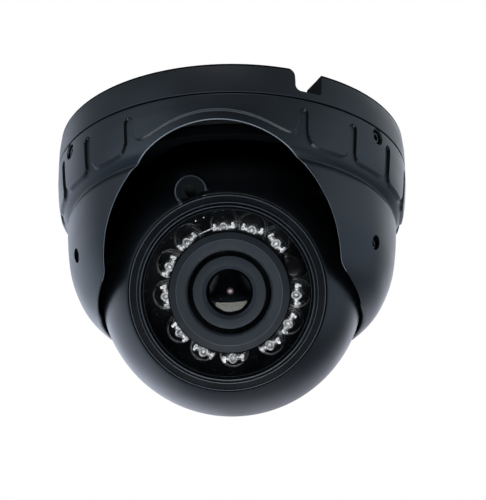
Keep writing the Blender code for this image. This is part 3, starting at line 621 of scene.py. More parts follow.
# ======================================================================= base
def build_base():
    prof = fillet([(0, -0.9), (16.8, -0.9, .6), (17.6, -4.6, .7), (32.3, -4.6, .8), (32.6, 0, .2), (34.62, 0, .32),
                   (34.98, -3.0), (35.05, -6.4, .2), (31.6, -6.4, .15), (31.6, -10.0, .1), (30.2, -10.0), (30.2, -11.8),
                   (31.6, -11.8, .1), (31.6, -13.8, .3), (29.2, -13.8, .35), (29.2, -6.4, .7), (16.6, -6.4, .5),
                   (15.6, -2.3, .6), (0, -2.3)], 4, closed=False)
    ob = revolve("base_casting", prof, 240)
    bm = bmesh.new()
    for az in (90.0, 210.0, 330.0):
        rod(bm, 4.35, -5.4, -0.25, 48, None, around(24.5, az), 4.2)
        rod(bm, 4.2, -0.25, 0.0, 48, None, around(24.5, az), 3.95)
    lugs = from_bm("lugs", bm)
    combine(ob, lugs, 'UNION')
    bm = bmesh.new()
    for az in (90.0, 210.0, 330.0):
        box(bm, (-0.75, -33.4, -5.4), (0.75, -26.0, -0.7), round_z(az))
        for s in (-30.0, 30.0):
            box(bm, (-0.6, -33.4, -5.4), (0.6, -17.0, -3.4), round_z(az + s * 0.999))
    # low stiffening ribs stay clear of the cable hole and the notch
    ribs = from_bm("ribs", bm)
    combine(ob, ribs, 'UNION')
    bm = bmesh.new()
    box(bm, (2.75, -33.0, -5.3), (4.95, -27.9, -0.05), round_z(30.0))
    box(bm, (-3.85, -33.0, -5.3), (-2.15, -29.3, -0.05), round_z(30.0))
    combine(ob, from_bm("cable_walls", bm), 'UNION')
    bm = bmesh.new()
    for az in (90.0, 210.0, 330.0):
        rod(bm, 2.2, -9.0, 2.0, 40, None, around(24.5, az))
    rod(bm, 4.2, -9.0, -1.0, 48, None, around(23.6, 150.0))
    holes = from_bm("holes", bm)
    combine(ob, holes)
    bm = bmesh.new()
    for az in (90.0, 210.0, 330.0):
        rod(bm, 4.6, -6.9, -4.35, 40, None, around(24.5, az), 2.05)
    combine(ob, from_bm("sinks", bm))
    le, ri, dp = 2.35, 3.05, 4.85
    out = [(ri + 0.6, 1.5), (ri + 0.45, 0.0), (ri + 0.02, -dp + 0.3), (ri - 0.08, -dp + 0.1), (ri - 0.3, -dp)]
    out += [(-le + 1.2 - 1.2 * math.sin(t), -dp + 1.2 - 1.2 * math.cos(t)) for t in np.linspace(0, math.pi / 2, 9)]
    out += [(-le - 1.7 + 1.7 * math.cos(t), -1.7 + 1.7 * math.sin(t)) for t in np.linspace(0, math.radians(85), 13)]
    out += [(-le - 1.7, 1.5)]
    m = (round_z(30.0) @ Matrix.Translation((0, -33.6 * MM, 0)) @ Matrix.Rotation(math.radians(90), 4, 'X'))
    notch = prism("notch", out, [(-6.0, 0), (6.0, 0)], m)
    combine(ob, notch)
    soften(ob, 30)
    return ob


base = add(build_base(), "base", M_BASE, "mounting_base", slot="housing_paint")
cut_at(base, -0.52)
# painted shade: near-black band along the top outer edge, and on the underside and the cable notch walls
line_dark(base, M_PAINTED_SHADE, lambda r, z, c: (z > -0.515) & (r > 34.3))
line_dark(base, M_PAINTED_SHADE,
          lambda r, z, c: (z < -6.45) | ((z < -0.03) & (z > -4.9) & (r < 34.6) & (c[:, 0] * 0.5 - c[:, 1] * 0.866 > 27.7)
                                         & (c[:, 0] * 0.866 + c[:, 1] * 0.5 > 2.9) & (c[:, 0] * 0.866 + c[:, 1] * 0.5 < 3.52)))


# ====================================================================== cover
ARCH_Z, ARCH_R, BAND = -34.7, 22.7, 1.9
r_pad = curve([-40, -17.0, -15.6, -14.0, -12.0, -9.0, -6.7], [33.0, 34.10, 34.45, 34.72, 34.90, 35.05, 35.05])
r_low = curve([-38.2, -37.0, -35.5, -34.0, -32.0, -30.0, -28.0, -26.0, -24.0, -22.0, -20.2, -19.3, -18.95, -18.1,
               -17.9, -17.75, -17.5, -17.2, -16.8, -16.2, -15.4, -14.0, -12.0, -9.0, -6.7],
              [26.2, 27.6, 28.97, 29.94, 30.88, 31.6, 32.1, 32.39, 32.6, 32.74, 32.82, 32.87, 32.82, 32.43,
               32.36, 32.37, 32.62, 32.98, 33.34, 33.72, 33.99, 34.22, 34.39, 34.53, 34.53])
r_in = curve([-38.2, -36.3, -34.0, -30.0, -26.0, -18.6, -16.8, -13.2, -6.7],
             [25.45, 25.95, 27.5, 29.1, 29.95, 30.25, 30.9, 31.9, 31.9])
SLOTS = np.array([28.8 + 18.9 * k for k in range(17)])
SLOTS = (SLOTS + 180.0) % 360.0 - 180.0


def relief(az, z):
    """Outer radius of the cover at azimuth az (degrees) and height z (mm), arrays."""
    d = np.full(az.shape, 1e9)
    for s in SLOTS:
        u = ((az - s + 180.0) % 360.0 - 180.0) * math.pi / 180 * 34.9
        dz = np.where(z > -9.55, z + 9.55, 0.0)
        d = np.minimum(d, np.hypot(u, dz) - 0.86)
    d = smin(d, z + 16.1, 2.1)
    x = 34.6 * np.sin(np.radians(az))
    ring = np.hypot(x, z - ARCH_Z) - (ARCH_R + BAND)
    ring = np.where(np.abs(az) > 80.0, 20.0, ring)
    d = smin(d, ring, 4.2)
    width = 0.19 + 0.19 * step01((27.0 - np.abs(az)) / 3.0)
    mask = step01(d / width + 0.5)
    lift = 0.0 * z
    return r_low(z) + (r_pad(z) - r_low(z)) * (lift + (1 - lift) * mask)


def build_cover():
    # column azimuths, closer together where the slots are
    az = -180.0
    cols = []
    while az < 180.0 - 1e-9:
        gap = np.min(np.abs((az - SLOTS + 180.0) % 360.0 - 180.0))
        if abs(az) < 88.0:
            step = 0.25 if gap < 1.15 else (0.1 if gap < 1.72 else (0.5 if gap < 5.0 else 1.1))
        else:
            step = 0.3 if gap < 2.0 else (0.7 if gap < 5.0 else 1.5)
        if 19.5 < abs(az) < 29.0:
            step = min(step, 0.25)
        elif abs(az) < 30.0:
            step = min(step, 0.5)
        elif abs(az) < 56.0:
            step = min(step, 0.8)
        cols.append(az)
        az += step
    az = np.array(cols)
    n = len(az)
    f = 0.34
    # opening's edge in the (x, z) plane, as a curve from the crown to the bottom hole
    th = np.linspace(0.0, math.pi / 2, 200)
    arc = np.stack([ARCH_R * np.sin(th), ARCH_Z + ARCH_R * np.cos(th)], 1)
    fz = np.array([-34.7, -35.2, -35.8, -36.4, -37.1, -37.7, -38.2])
    fx = np.array([22.7, 22.78, 23.1, 23.75, 24.7, 25.5, 26.2])
    g = curve(-fz, fx)
    zz = np.linspace(-34.7, -38.2, 60)[1:]
    edge = np.concatenate([arc, np.stack([g(-zz), zz], 1)])
    tan = np.gradient(edge, axis=0)
    tan /= np.linalg.norm(tan, axis=1)[:, None]
    nrm = np.stack([-tan[:, 1], tan[:, 0]], 1)          # away from the opening
    nrm[:, 0] = np.abs(nrm[:, 0])
    q = edge + nrm * f
    aq = np.degrees(np.arcsin(np.clip(q[:, 0] / r_low(q[:, 1]), 0, 1)))
    keep = np.concatenate([[True], np.diff(np.maximum.accumulate(aq)) > 1e-5])
    aq, q, edge_k, nrm_k = aq[keep], q[keep], edge[keep], nrm[keep]
    a = np.abs(az)
    sgn = np.where(az < 0, -1.0, 1.0)
    qz = np.interp(a, aq, q[:, 1])
    px = np.interp(a, aq, edge_k[:, 0])
    pz = np.interp(a, aq, edge_k[:, 1])
    nx = np.interp(a, aq, nrm_k[:, 0])
    nz = np.interp(a, aq, nrm_k[:, 1])
    rear = a > aq[-1]
    qz = np.where(rear, -37.88, qz)
    pz = np.where(rear, -38.2, pz)
    w = step01((a - 66.0) / 18.0)
    ra = np.radians(az)
    radial_dir = np.stack([np.sin(ra), -np.cos(ra), np.zeros(n)], 1)

    def on(r, z):
        return np.stack([r * np.sin(ra), -r * np.cos(ra), z], 1)

    def through(r, x, z):
        y = -np.sqrt(np.maximum(r * r - x * x, 0.0))
        return np.stack([sgn * x, y, z], 1)

    ro = r_low(pz)
    corner = through(ro, np.minimum(px, ro), pz) * (1 - w)[:, None] + on(ro, pz) * w[:, None]
    inward = np.array([0.0, 1.0, 0.0])[None] * (1 - w)[:, None] - radial_dir * w[:, None]
    inward /= np.linalg.norm(inward, axis=1)[:, None]
    back = 1.3 * (1 - w)                                 # the wall's cut face leans away from the opening
    ix, iz = px + nx * back, pz + nz * back
    ri = r_in(iz)
    inner = through(ri, np.minimum(ix, ri), iz) * (1 - w)[:, None] + on(ri, iz) * w[:, None]
    fi = 0.3
    jx, jz = ix + nx * fi, np.where(rear, -38.2 + fi, iz + nz * fi)
    rj = r_in(jz)
    inner_j = through(rj, np.minimum(jx, rj), jz) * (1 - w)[:, None] + on(rj, jz) * w[:, None]
    # keep the blended points on their radius
    for arr, rad in ((corner, ro), (inner, ri), (inner_j, rj)):
        h = np.hypot(arr[:, 0], arr[:, 1])
        arr[:, 0] *= rad / h
        arr[:, 1] *= rad / h

    rows = []
    top = -6.7
    # top face and its rounded outer edge
    rows.append(on(np.full(n, 31.9), np.full(n, top - 0.25)))
    rows.append(on(np.full(n, 31.98), np.full(n, top - 0.07)))
    rows.append(on(np.full(n, 32.15), np.full(n, top)))
    rows.append(on(np.full(n, 33.6), np.full(n, top)))
    for t in np.linspace(0, math.pi / 2, 5):
        rows.append(on(np.full(n, 34.83 + 0.22 * math.sin(t)), np.full(n, top - 0.22 + 0.22 * math.cos(t))))
    # outer face
    pad_x = 34.6 * np.sin(np.minimum(np.abs(ra), 1.3))
    ring_z = ARCH_Z + np.sqrt(np.maximum((ARCH_R + BAND) ** 2 - pad_x ** 2, 0.0))
    ring_z = np.where(np.abs(ra) > 0.8, -60.0, ring_z)

    def smax(p, q_, k_):
        return -smin(-p, -q_, k_)
    low_z = smax(ring_z, np.full(n, -16.1), 0.8) - 0.55
    low_z = np.maximum(low_z, qz + 0.6)
    mid_z = smax(low_z + 0.5 * (qz - low_z), np.full(n, -18.95), 0.8)
    start = top - 0.24
    for t in np.concatenate([np.linspace(0, 0.15, 4)[1:], np.linspace(0.15, 1, 44)[1:]]):
        z = start + (low_z - start) * t
        rows.append(on(relief(az, z), z))
    for t in np.linspace(0, 1, 15)[1:]:
        z = low_z + (mid_z - low_z) * t
        rows.append(on(relief(az, z), z))
    for t in np.linspace(0, 1, 29)[1:]:
        z = mid_z + (qz - mid_z) * t
        rows.append(on(relief(az, z), z))
    # rolled edge, thickness, inner edge
    a_pt = rows[-1]

    def bez(p0, p1, p2, t):
        return p0 * (1 - t) ** 2 + p1 * 2 * t * (1 - t) + p2 * t * t

    thick = np.linalg.norm(inner - corner, axis=1)
    slant = (inner - corner) / thick[:, None]
    inward = inward * 0.35 + slant * 0.65
    inward /= np.linalg.norm(inward, axis=1)[:, None]
    b_pt = corner + inward * np.minimum(f, thick * 0.4)[:, None]
    c_pt = inner - slant * np.minimum(fi, thick * 0.3)[:, None]
    for t in (0.2, 0.4, 0.6, 0.8, 1.0):
        rows.append(bez(a_pt, corner, b_pt, t))
    for t in (0.33, 0.67, 1.0):
        rows.append(b_pt * (1 - t) + c_pt * t)
    for t in (0.33, 0.67, 1.0):
        rows.append(bez(c_pt, inner, inner_j, t))
    # inner face back to the top
    aj = np.arctan2(inner_j[:, 0], -inner_j[:, 1])
    aj = np.where(np.abs(aj - ra) > math.pi, aj + np.where(aj < ra, math.tau, -math.tau), aj)
    zj = inner_j[:, 2]
    for t in np.linspace(0, 1, 25)[1:-1]:
        z = zj + (top - 0.25 - zj) * t
        ang = aj + (ra - aj) * t
        r = r_in(z)
        rows.append(np.stack([r * np.sin(ang), -r * np.cos(ang), z], 1))
    v = np.array(rows)                                   # rows x columns x 3
    m = len(rows)
    idx = np.arange(m * n).reshape(m, n)
    i0, i1 = idx, np.roll(idx, -1, 0)
    faces = np.stack([i0, i1, np.roll(i1, -1, 1), np.roll(i0, -1, 1)], -1).reshape(-1, 4)
    ob = make("cover_shell", v.reshape(-1, 3) * MM, faces)
    outward(ob)
    return ob


def cover_holes(ob):
    bm = bmesh.new()
    for az in (-60.0, 60.0, 180.0):
        rod(bm, 1.42, 30.0, 38.0, 40, radial(az, -8.4))
    for az in (-66.6, 66.6):
        rod(bm, 1.42, 26.8, 36.0, 40, radial(az, -28.9))
    combine(ob, from_bm("bores", bm))
    # small chamfers at the mouths
    bm = bmesh.new()
    for az in (-60.0, 60.0, 180.0):
        rod(bm, 1.3, 34.62, 35.3, 40, radial(az, -8.4), r2=1.98)
    for az in (-66.6, 66.6):
        rod(bm, 1.3, 31.45, 32.13, 40, radial(az, -28.9) @ Matrix.Rotation(math.radians(-11), 4, 'X'), r2=1.98)
    combine(ob, from_bm("chamfers", bm))
    soften(ob, 42)
    return ob


cover = add(cover_holes(build_cover()), "cover", M_PAINT, "cover", slot="housing_paint")
# painted shade on the cover's inside faces
line_dark(cover, M_PAINTED_SHADE, lambda r, z, c: (r < r_low(z) - 0.40) & (z < -6.8))


def facing_front(r, z, c):
    """Steep slot walls that face the front of the cover, where no light reaches."""
    n = np.zeros(len(r) * 3)
    cover.data.polygons.foreach_get("normal", n)
    n = n.reshape(-1, 3)
    az = np.arctan2(c[:, 0], -c[:, 1])
    turn = (n[:, 0] * np.cos(az) + n[:, 1] * np.sin(az)) * np.sign(az)
    return (turn < -0.42) & (z < -8.5) & (z > -16.2) & (np.abs(az) < 1.5) & (r > r_low(z) + 0.02) & (r < r_pad(z) + 0.01)


line_dark(cover, M_SLOT, facing_front)
# painted highlight along the rolled edge of the opening
line_dark(cover, M_PAINTED_HIGHLIGHT, lambda r, z, c: (r < r_low(z) - 0.03) & (r >= r_low(z) - 0.40) & (z < -11.0) & (z > -37.4)
          & (np.abs(c[:, 0]) < 23.6) & (c[:, 1] < 0))


# ================================================================ set screws
def set_screw(name, az, z, r_in_, r_out, node, body="cover"):
    """Threaded set screw with a hexagon socket, axis along the radius."""
    prof = [(0, r_out - 0.05), (0.95, r_out - 0.05, .02), (1.12, r_out - 0.2)]
    zz = r_out - 0.3
    while zz > r_in_ + 0.6:
        prof += [(1.22, zz, .03), (1.02, zz - 0.2, .03)]
        zz -= 0.4
    prof += [(0.7, r_in_ + 0.1), (0, r_in_)]
    ob = revolve(name, fillet(prof, 3, closed=False), 36)
    bm = bmesh.new()
    rod(bm, 0.72, r_out - 1.15, r_out + 1.0, 6, Matrix.Rotation(math.radians(az * 3.0), 4, 'Z'))
    combine(ob, from_bm("hex", bm))
    bm = bmesh.new()
    rod(bm, 0.66, r_out - 0.16, r_out + 0.16, 36, r2=0.98)
    combine(ob, from_bm("lead", bm))
    ob.data.transform(radial(az, z))
    soften(ob, 30)
    add(ob, body, M_SET, node, slot="set_screw_steel")


set_screw("lock_screw_left", -60.0, -8.4, 32.0, 34.62, "cover_lock_screw_left")
set_screw("lock_screw_right", 60.0, -8.4, 32.0, 34.62, "cover_lock_screw_right")
set_screw("lock_screw_rear", 180.0, -8.4, 32.0, 34.5, "cover_lock_screw_rear")
set_screw("aim_screw_left", -66.6, -28.9, 26.5, 31.3, "ball_lock_screw_left")
set_screw("aim_screw_right", 66.6, -28.9, 26.5, 31.3, "ball_lock_screw_right")


# ======================================================================= ball
def arc_pts(radius, z0, z1, n):
    a0, a1 = math.asin(z0 / radius), math.asin(z1 / radius)
    return [(radius * math.cos(a0 + (a1 - a0) * i / n), radius * math.sin(a0 + (a1 - a0) * i / n)) for i in range(n + 1)]


MIC = (-6.55, 19.6)


def build_front_shell():
    prof = [(19.04, 17.1), (19.03, 17.50), (19.08, 17.66), (19.22, 17.69)] + arc_pts(BALL_R, 17.5, -3.75, 60) + [(26.0, -3.93), (25.85, -4.0)]
    prof += arc_pts(BALL_R - 1.8, -4.0, 12.8, 20) + [(16.3, 12.8), (16.3, 14.0), (17.3, 14.0), (17.3, 15.2), (19.04, 15.2)]
    ob = revolve("ball_front_casting", prof, 200)
    # microphone boss: flat faced lug that flares into the bezel
    c = MIC
    ang = [math.radians(a) for a in np.linspace(4, 212, 44)]
    outline = [(c[0] + 3.2 * math.cos(a), c[1] + 3.2 * math.sin(a)) for a in ang]
    left = np.array(outline[-1])
    right = np.array(outline[0])
    end_l, end_r = np.array(polar(19.35, 118.6)), np.array(polar(19.35, 98.2))
    fl = [tuple(left + (end_l - left) * t + np.array([-0.22, 0.05]) * math.sin(math.pi * t)) for t in np.linspace(0.15, 1, 7)]
    fr = [tuple(right + (end_r - right) * t + np.array([0.22, 0.05]) * math.sin(math.pi * t)) for t in np.linspace(0.15, 1, 7)]
    outline = outline + fl + [polar(19.3, 114), polar(19.3, 108.5), polar(19.3, 103)] + fr[::-1]
    boss = prism("boss", outline, [(9.5, 0), (16.30, 0), (16.60, 0.06), (16.80, 0.2), (16.88, 0.34), (16.9, 0.5)])
    combine(ob, boss, 'UNION')
    bm = bmesh.new()
    rod(bm, 2.25, 16.72, 17.6, 56, at=c)
    combine(ob, from_bm("mic_recess", bm))
    bm = bmesh.new()
    rod(bm, 1.15, 15.2, 19.0, 40, at=c)
    combine(ob, from_bm("mic_hole", bm))
    ob.data.transform(BALL)
    soften(ob, 30)
    return ob


front_shell = add(build_front_shell(), "ball", M_BALL, "ball_front_shell", slot="ball_paint")
line_dark(front_shell, M_FACE, lambda r, z, c: (np.hypot(c[:, 0] - MIC[0], c[:, 1] - MIC[1]) < 2.78) & (z > 16.0), BALL)
# painted highlight on the boss rim
line_dark(front_shell, M_CREST_HIGHLIGHT, lambda r, z, c: (np.hypot(c[:, 0] - MIC[0], c[:, 1] - MIC[1]) < 3.12)
          & (np.hypot(c[:, 0] - MIC[0], c[:, 1] - MIC[1]) >= 2.78) & (z > 16.6), BALL)
# painted shade inside the front shell
line_dark(front_shell, M_PAINTED_SHADE,
          lambda r, z, c: (np.hypot(r, z) < BALL_R - 0.5) & (z < 16.6), BALL)


def build_rear_shell():
    prof = [(25.85, -4.3), (26.0, -4.37)] + arc_pts(BALL_R, -4.55, -25.4, 44)
    prof += [(3.4, -25.4), (3.4, -22.0), (6.0, -22.0)] + arc_pts(BALL_R - 1.8, -23.0, -6.0, 18)
    prof += [(22.2, -5.8), (22.2, -0.8), (23.7, -0.8), (23.7, -1.5), (22.8, -1.5), (22.8, -3.1), (23.7, -3.1), (23.7, -4.3)]
    ob = revolve("ball_rear_casting", prof, 180)
    bm = bmesh.new()
    for a in (90.0, 210.0, 330.0):
        rod(bm, 2.2, -24.0, -8.5, 40, at=polar(19.6, a))
    combine(ob, from_bm("sinks", bm))
    ob.data.transform(BALL)
    soften(ob, 30)
    return ob


add(build_rear_shell(), "ball", M_BALL, "ball_rear_shell", slot="ball_paint")

bezel = revolve("bezel", fillet([
    (18.88, 15.5, .1), (18.90, 17.60, .05), (18.86, 18.10, .07), (18.70, 18.20, .07), (18.60, 17.90, .05), (17.52, 17.90, .05),
    (17.46, 18.26, .05), (17.32, 18.28, .05), (17.26, 17.98, .05), (16.88, 17.98, .05), (16.82, 18.70, .07),
    (16.66, 18.74, .07), (16.56, 18.40, .06), (16.10, 18.36, .06), (15.96, 17.95, .06), (15.85, 17.5, .05), (17.2, 17.5), (17.2, 15.5)], 4),
    220, BALL)
# painted highlights on the ridge tops and inner edge; painted shade on the tread inside the inner ridge
line_dark(add(soften(bezel, 40), "ball", M_BEZEL, "bezel_ring", slot="ball_paint"), M_CREST_HIGHLIGHT,
          lambda r, z, c: ((r > 18.60) & (r < 18.88) & (z > 18.08)) | ((r > 17.28) & (r < 17.48) & (z > 18.2)) | ((r > 16.64) & (r < 16.84) & (z > 18.66)),
          BALL)
line_dark(bezel, M_PAINTED_SHADE, lambda r, z, c: (r < 16.60) & (z > 17.4) & (z < 18.6), BALL)
line_dark(bezel, M_CREST_HIGHLIGHT, lambda r, z, c: (r > 15.93) & (r < 16.12) & (z > 18.2), BALL)

glass = revolve("window", [(0, 17.2), (8, 17.2), (16.0, 17.2), (16.7, 17.2), (16.88, 17.02), (16.88, 15.4), (16.7, 15.2), (16.0, 15.2), (8, 15.2), (0, 15.2)], 120, BALL)
add(soften(glass, 30), "ball", M_WINDOW, "window_glass", slot="window_glass")

# lens shroud: moulded rubber collar, soft rounded shoulders
shroud = revolve("shroud", fillet([
    (10.30, 14.88, .25), (11.70, 14.62, .22), (11.88, 14.2, .1), (11.88, 9.2), (8.25, 9.2), (8.04, 14.3, .12),
    (8.20, 14.72, .16), (8.6, 14.82, .3)], 5), 180, BALL, OPTIC)
OPTICS = BALL @ Matrix.Translation((OPTIC[0] * MM, OPTIC[1] * MM, 0))
add(soften(shroud, 42), "ball", M_SHROUD, "lens_shroud", slot="shroud_rubber")
# painted shade in the bore, on the shoulders and along the outer outline; a painted highlight ring on the top
line_dark(shroud, M_PAINTED_SHADE, lambda r, z, c: (r < 8.3) & (z < 14.1), OPTICS)
line_dark(shroud, M_SHROUD_SHADE, lambda r, z, c: ((r > 10.42) & (z > 9.3)) | ((r < 8.5) & (z > 14.1)), OPTICS)
line_dark(shroud, M_PAINTED_HIGHLIGHT, lambda r, z, c: (r > 10.18) & (r < 10.42) & (z > 14.5), OPTICS)
line_dark(shroud, M_PAINTED_SHADE, lambda r, z, c: (r > r[z > 12.5].max() - 0.2) & (z > 9.3), OPTICS)


# ======================================================================= LEDs
def build_leds():
    angles = (95.0, 70.0, 45.5, -6.5, -31.5, -55.5, -90.0, -116.5, -142.5, -175.0, 157.5, 130.0)
    prof = [(0, 14.3)] + [(2.5 * math.sin(t), 11.8 + 2.5 * math.cos(t)) for t in np.radians(np.arange(9, 91, 9))]
    prof += [(2.5, 11.0), (2.5, 9.5), (2.5, 8.2), (2.52, 7.9), (2.85, 7.8), (2.88, 7.2), (2.6, 7.05), (0, 7.05)]
    for i, a in enumerate(angles):
        x, y = polar(12.8, a)
        x, y = x + OPTIC[0] + 0.2, y + OPTIC[1] + 0.42
        m = BALL @ Matrix.Translation((x * MM, y * MM, 0))
        dome = revolve("led_%02d_dome" % (i + 1), prof, 44, m)
        soften(dome, 50)
        add(dome, "ball", M_DOME, "ir_led_%02d" % (i + 1), slot="led_epoxy")
        # lead frame, lying along the ring on its inner side
        drop = 0.15 + 0.8 * abs(math.sin(math.radians(a)))
        turn = (m @ Matrix.Translation((-0.12 * MM, -drop * MM, 0))
                @ Matrix.Rotation(math.radians(a + 90.0 + 6.0 * math.sin(i * 2.3)), 4, 'Z')
                @ Matrix.Diagonal((1.06, 1.28, 1.0, 1.0)))
        cup = revolve("led_%02d_cup" % (i + 1), fillet([(0, 9.42), (0.28, 9.42, .04), (0.52, 9.95, .05), (0.66, 10.08, .05),
                                                      (0.80, 9.95, .06), (0.70, 9.3, .1), (0.3, 9.2), (0, 9.2)], 3, closed=False),
                      36, turn)
        bm = bmesh.new()
        box(bm, (-0.5, -0.3, 7.3), (0.5, 0.3, 9.3), turn)                          # anvil under the cup
        box(bm, (-2.0, -0.27, 7.3), (-1.42, 0.27, 9.25), turn)
        box(bm, (1.38, -0.27, 7.3), (1.98, 0.27, 9.45), turn)                      # post
        box(bm, (-1.5, -0.15, 8.3), (-0.55, 0.15, 9.0), turn)
        box(bm, (0.55, -0.15, 8.3), (1.5, 0.15, 9.0), turn)
        box(bm, (-0.15, -0.15, 9.40), (0.15, 0.15, 9.70), turn)                    # chip
        box(bm, (-1.25, -0.42, 8.55), (1.30, 0.42, 8.95), turn)                    # flange the cup is pressed from
        box(bm, (-1.95, -0.62, 8.35), (-1.45, -0.30, 8.75), turn)
        box(bm, (1.42, -0.66, 8.40), (1.90, -0.32, 8.80), turn)
        frm = from_bm("led_%02d_leads" % (i + 1), bm)
        bev = frm.modifiers.new("bev", 'BEVEL')
        bev.width = 0.07 * MM
        bev.segments = 2
        bev.limit_method = 'ANGLE'
        bake(frm)
        bm = bmesh.new()
        for bx, br, bz in ((-1.04, 0.22, 9.5), (1.08, 0.20, 9.55), (-1.76, 0.28, 9.5), (1.70, 0.24, 9.65)):
            bmesh.ops.create_uvsphere(bm, u_segments=20, v_segments=12, radius=br * MM,
                                      matrix=turn @ Matrix.Translation((bx * MM, 0.04 * MM, bz * MM)))
        beads = from_bm("led_%02d_beads" % (i + 1), bm)
        soften(frm, 35)
        soften(cup, 35)
        soften(beads, 60)
        # painted light: lead frame, cup and beads glow; flange, link bars and cup inside glow dimmer
        add(frm, "ball", M_FRAME_GLOW, slot="zinc_screw_steel")
        line_dark(frm, M_CUPWALL_GLOW, lambda r, z, c: (z < 8.97) & (np.abs(c[:, 0]) < 1.4), turn)
        add(cup, "ball", M_CUP_GLOW, slot="zinc_screw_steel")
        line_dark(cup, M_CUPWALL_GLOW, lambda r, z, c: (r > 0.26) & (r < 0.53) & (z > 9.36) & (z < 9.98), turn)
        add(beads, "ball", M_FRAME_GLOW, slot="zinc_screw_steel")


build_leds()

# light sensor: dark square-shouldered epoxy dome
sx, sy = polar(13.1, 20.0)
sx, sy = sx + OPTIC[0], sy + OPTIC[1]
sensor = revolve("sensor", fillet([(0, 13.55), (1.5, 13.45, .5), (2.25, 13.05, .5), (2.5, 12.2, .5), (2.5, 8.0, .05), (2.85, 7.9, .06),
                                  (2.85, 7.1, .06), (0, 7.05)], 5, closed=False), 48,
                 BALL @ Matrix.Translation((sx * MM, sy * MM, 0)))
add(soften(sensor, 35), "ball", M_SENSOR, "light_sensor", slot="sensor_epoxy")


# ======================================================= LED board components
def build_parts():
    bm = bmesh.new()
    z = 6.7
    rng = np.random.default_rng(7)
    for a, r, s in ((112.4, 14.7, 1.15), (57.5, 16.6, 0.9), (33.0, 16.6, 0.9), (6.5, 16.8, 0.8),
                    (-19.0, 16.7, 0.9), (-43.0, 16.8, 0.9), (-72.5, 14.6, 1.0), (-66.0, 16.4, 0.8), (-103.0, 16.6, 0.9),
                    (-129.0, 16.6, 0.8), (-158.5, 16.5, 0.9), (171.0, 16.6, 0.9), (143.5, 16.7, 0.8), (82.0, 16.7, 0.8)):
        x, y = polar(r, a)
        m = BALL @ Matrix.Translation((x * MM, y * MM, z * MM)) @ Matrix.Rotation(math.radians(a + 90 + rng.uniform(-4, 4)), 4, 'Z')
        box(bm, (-s * 0.55, -0.3, 0.0), (s * 0.55, 0.3, 0.38), m)
    ob = from_bm("board_resistors", bm)
    bev = ob.modifiers.new("bev", 'BEVEL')
    bev.width = 0.06 * MM
    bev.segments = 2
    bake(ob)
    add(soften(ob, 35), "ball", M_CHIP, slot="chip")
    bm = bmesh.new()
    for a, r, s in ((112.4, 14.7, 1.15), (57.5, 16.6, 0.9), (33.0, 16.6, 0.9), (-72.5, 14.6, 1.0),
                    (-66.0, 16.4, 0.8), (143.5, 16.7, 0.8)):
        if a < 0:
            continue
        x, y = polar(r, a)
        m = BALL @ Matrix.Translation((x * MM, y * MM, z * MM)) @ Matrix.Rotation(math.radians(a + 90), 4, 'Z')
        for s2 in (-1, 1):
            box(bm, (s2 * s * 0.75 - 0.10, -0.10, 0.0), (s2 * s * 0.75 + 0.10, 0.10, 0.42), m)
    # link wire between two LEDs, close to the shroud
    p0, p1 = Vector((*polar(12.15, 118.5), 7.6)), Vector((*polar(12.2, 104.5), 7.6))
    d = p1 - p0
    rot = Vector((0, 0, 1)).rotation_difference(d.normalized()).to_matrix().to_4x4()
    bmesh.ops.create_cone(bm, cap_ends=True, segments=10, radius1=0.09 * MM, radius2=0.09 * MM, depth=d.length * MM,
                          matrix=BALL @ Matrix.Translation((p0 + p1) / 2 * MM) @ rot)
    ob = from_bm("board_solder", bm)
    bev = ob.modifiers.new("bev", 'BEVEL')
    bev.width = 0.07 * MM
    bev.segments = 2
    bake(ob)
    # the solder and link wire glow like the lead frames (painted light)
    add(soften(ob, 40), "ball", M_FRAME_GLOW, slot="zinc_screw_steel")


build_parts()

# ======================================================================= lens
FOCUS = BALL @ Matrix.Translation((OPTIC[0] * MM, OPTIC[1] * MM, 0))
prof = fillet([(7.09, 14.30, .14), (7.09, 9.2), (5.85, 9.2)], 4)
prof = [(5.85, 9.2)]
zz = 8.9
while zz > 2.7:
    prof += [(6.0, zz), (5.72, zz - 0.25)]
    zz -= 0.5
prof += [(5.85, 2.4), (4.0, 2.4), (2.2, 8.2), (2.2, 9.6), (4.45, 11.6), (4.45, 12.9)]
lens_prof = prof + fillet([(4.45, 12.9), (4.55, 13.75, .1), (5.0, 14.05, .1), (5.25, 14.30, .08), (7.09, 14.30, .16), (7.09, 9.2)], 4,
                          closed=False)[1:]
barrel = revolve("barrel", lens_prof, 140, FOCUS)
# painted shade inside the barrel
line_dark(add(soften(barrel, 34), "lens", M_BARREL, "lens_barrel", slot="lens_black"), M_PAINTED_SHADE,
          lambda r, z, c: (z < 13.2) | ((r < 4.5) & (z < 13.5)), FOCUS)

rc = 15.0
cap = [(r, 13.35 - (rc - math.sqrt(rc * rc - r * r))) for r in np.linspace(0, 4.3, 14)]
cap = cap + [(4.3, 12.3), (0, 12.3)]
front_glass = revolve("front_element", cap, 90, FOCUS)
add(soften(front_glass, 40), "lens", M_LENS, "lens_front_glass", slot="lens_glass")
inner_glass = revolve("inner_element", [(0, 12.05)] + [(0.33 * math.sin(t), 11.69 + 0.33 * math.cos(t)) for t in np.radians(np.arange(15, 91, 15))]
                      + [(0.40, 11.6), (0.62, 11.62), (0.66, 11.55), (0.60, 11.45), (0, 11.4)], 40, FOCUS)
# painted glint: the inner element glows pink and its ring glows dim
add(soften(inner_glass, 35), "lens", M_PUPIL_GLINT, slot="lens_glass")
line_dark(inner_glass, M_PUPIL_RING_GLOW, lambda r, z, c: r > 0.34, FOCUS)


# ============================================================ carried-over CAD
def dress(mat, *names):
    for name in names:
        ob = nodes[name]
        ob.data.materials.clear()
        ob.data.materials.append(mat)
        ob.data.shade_smooth()
        ob.data.set_sharp_from_angle(angle=math.radians(32))


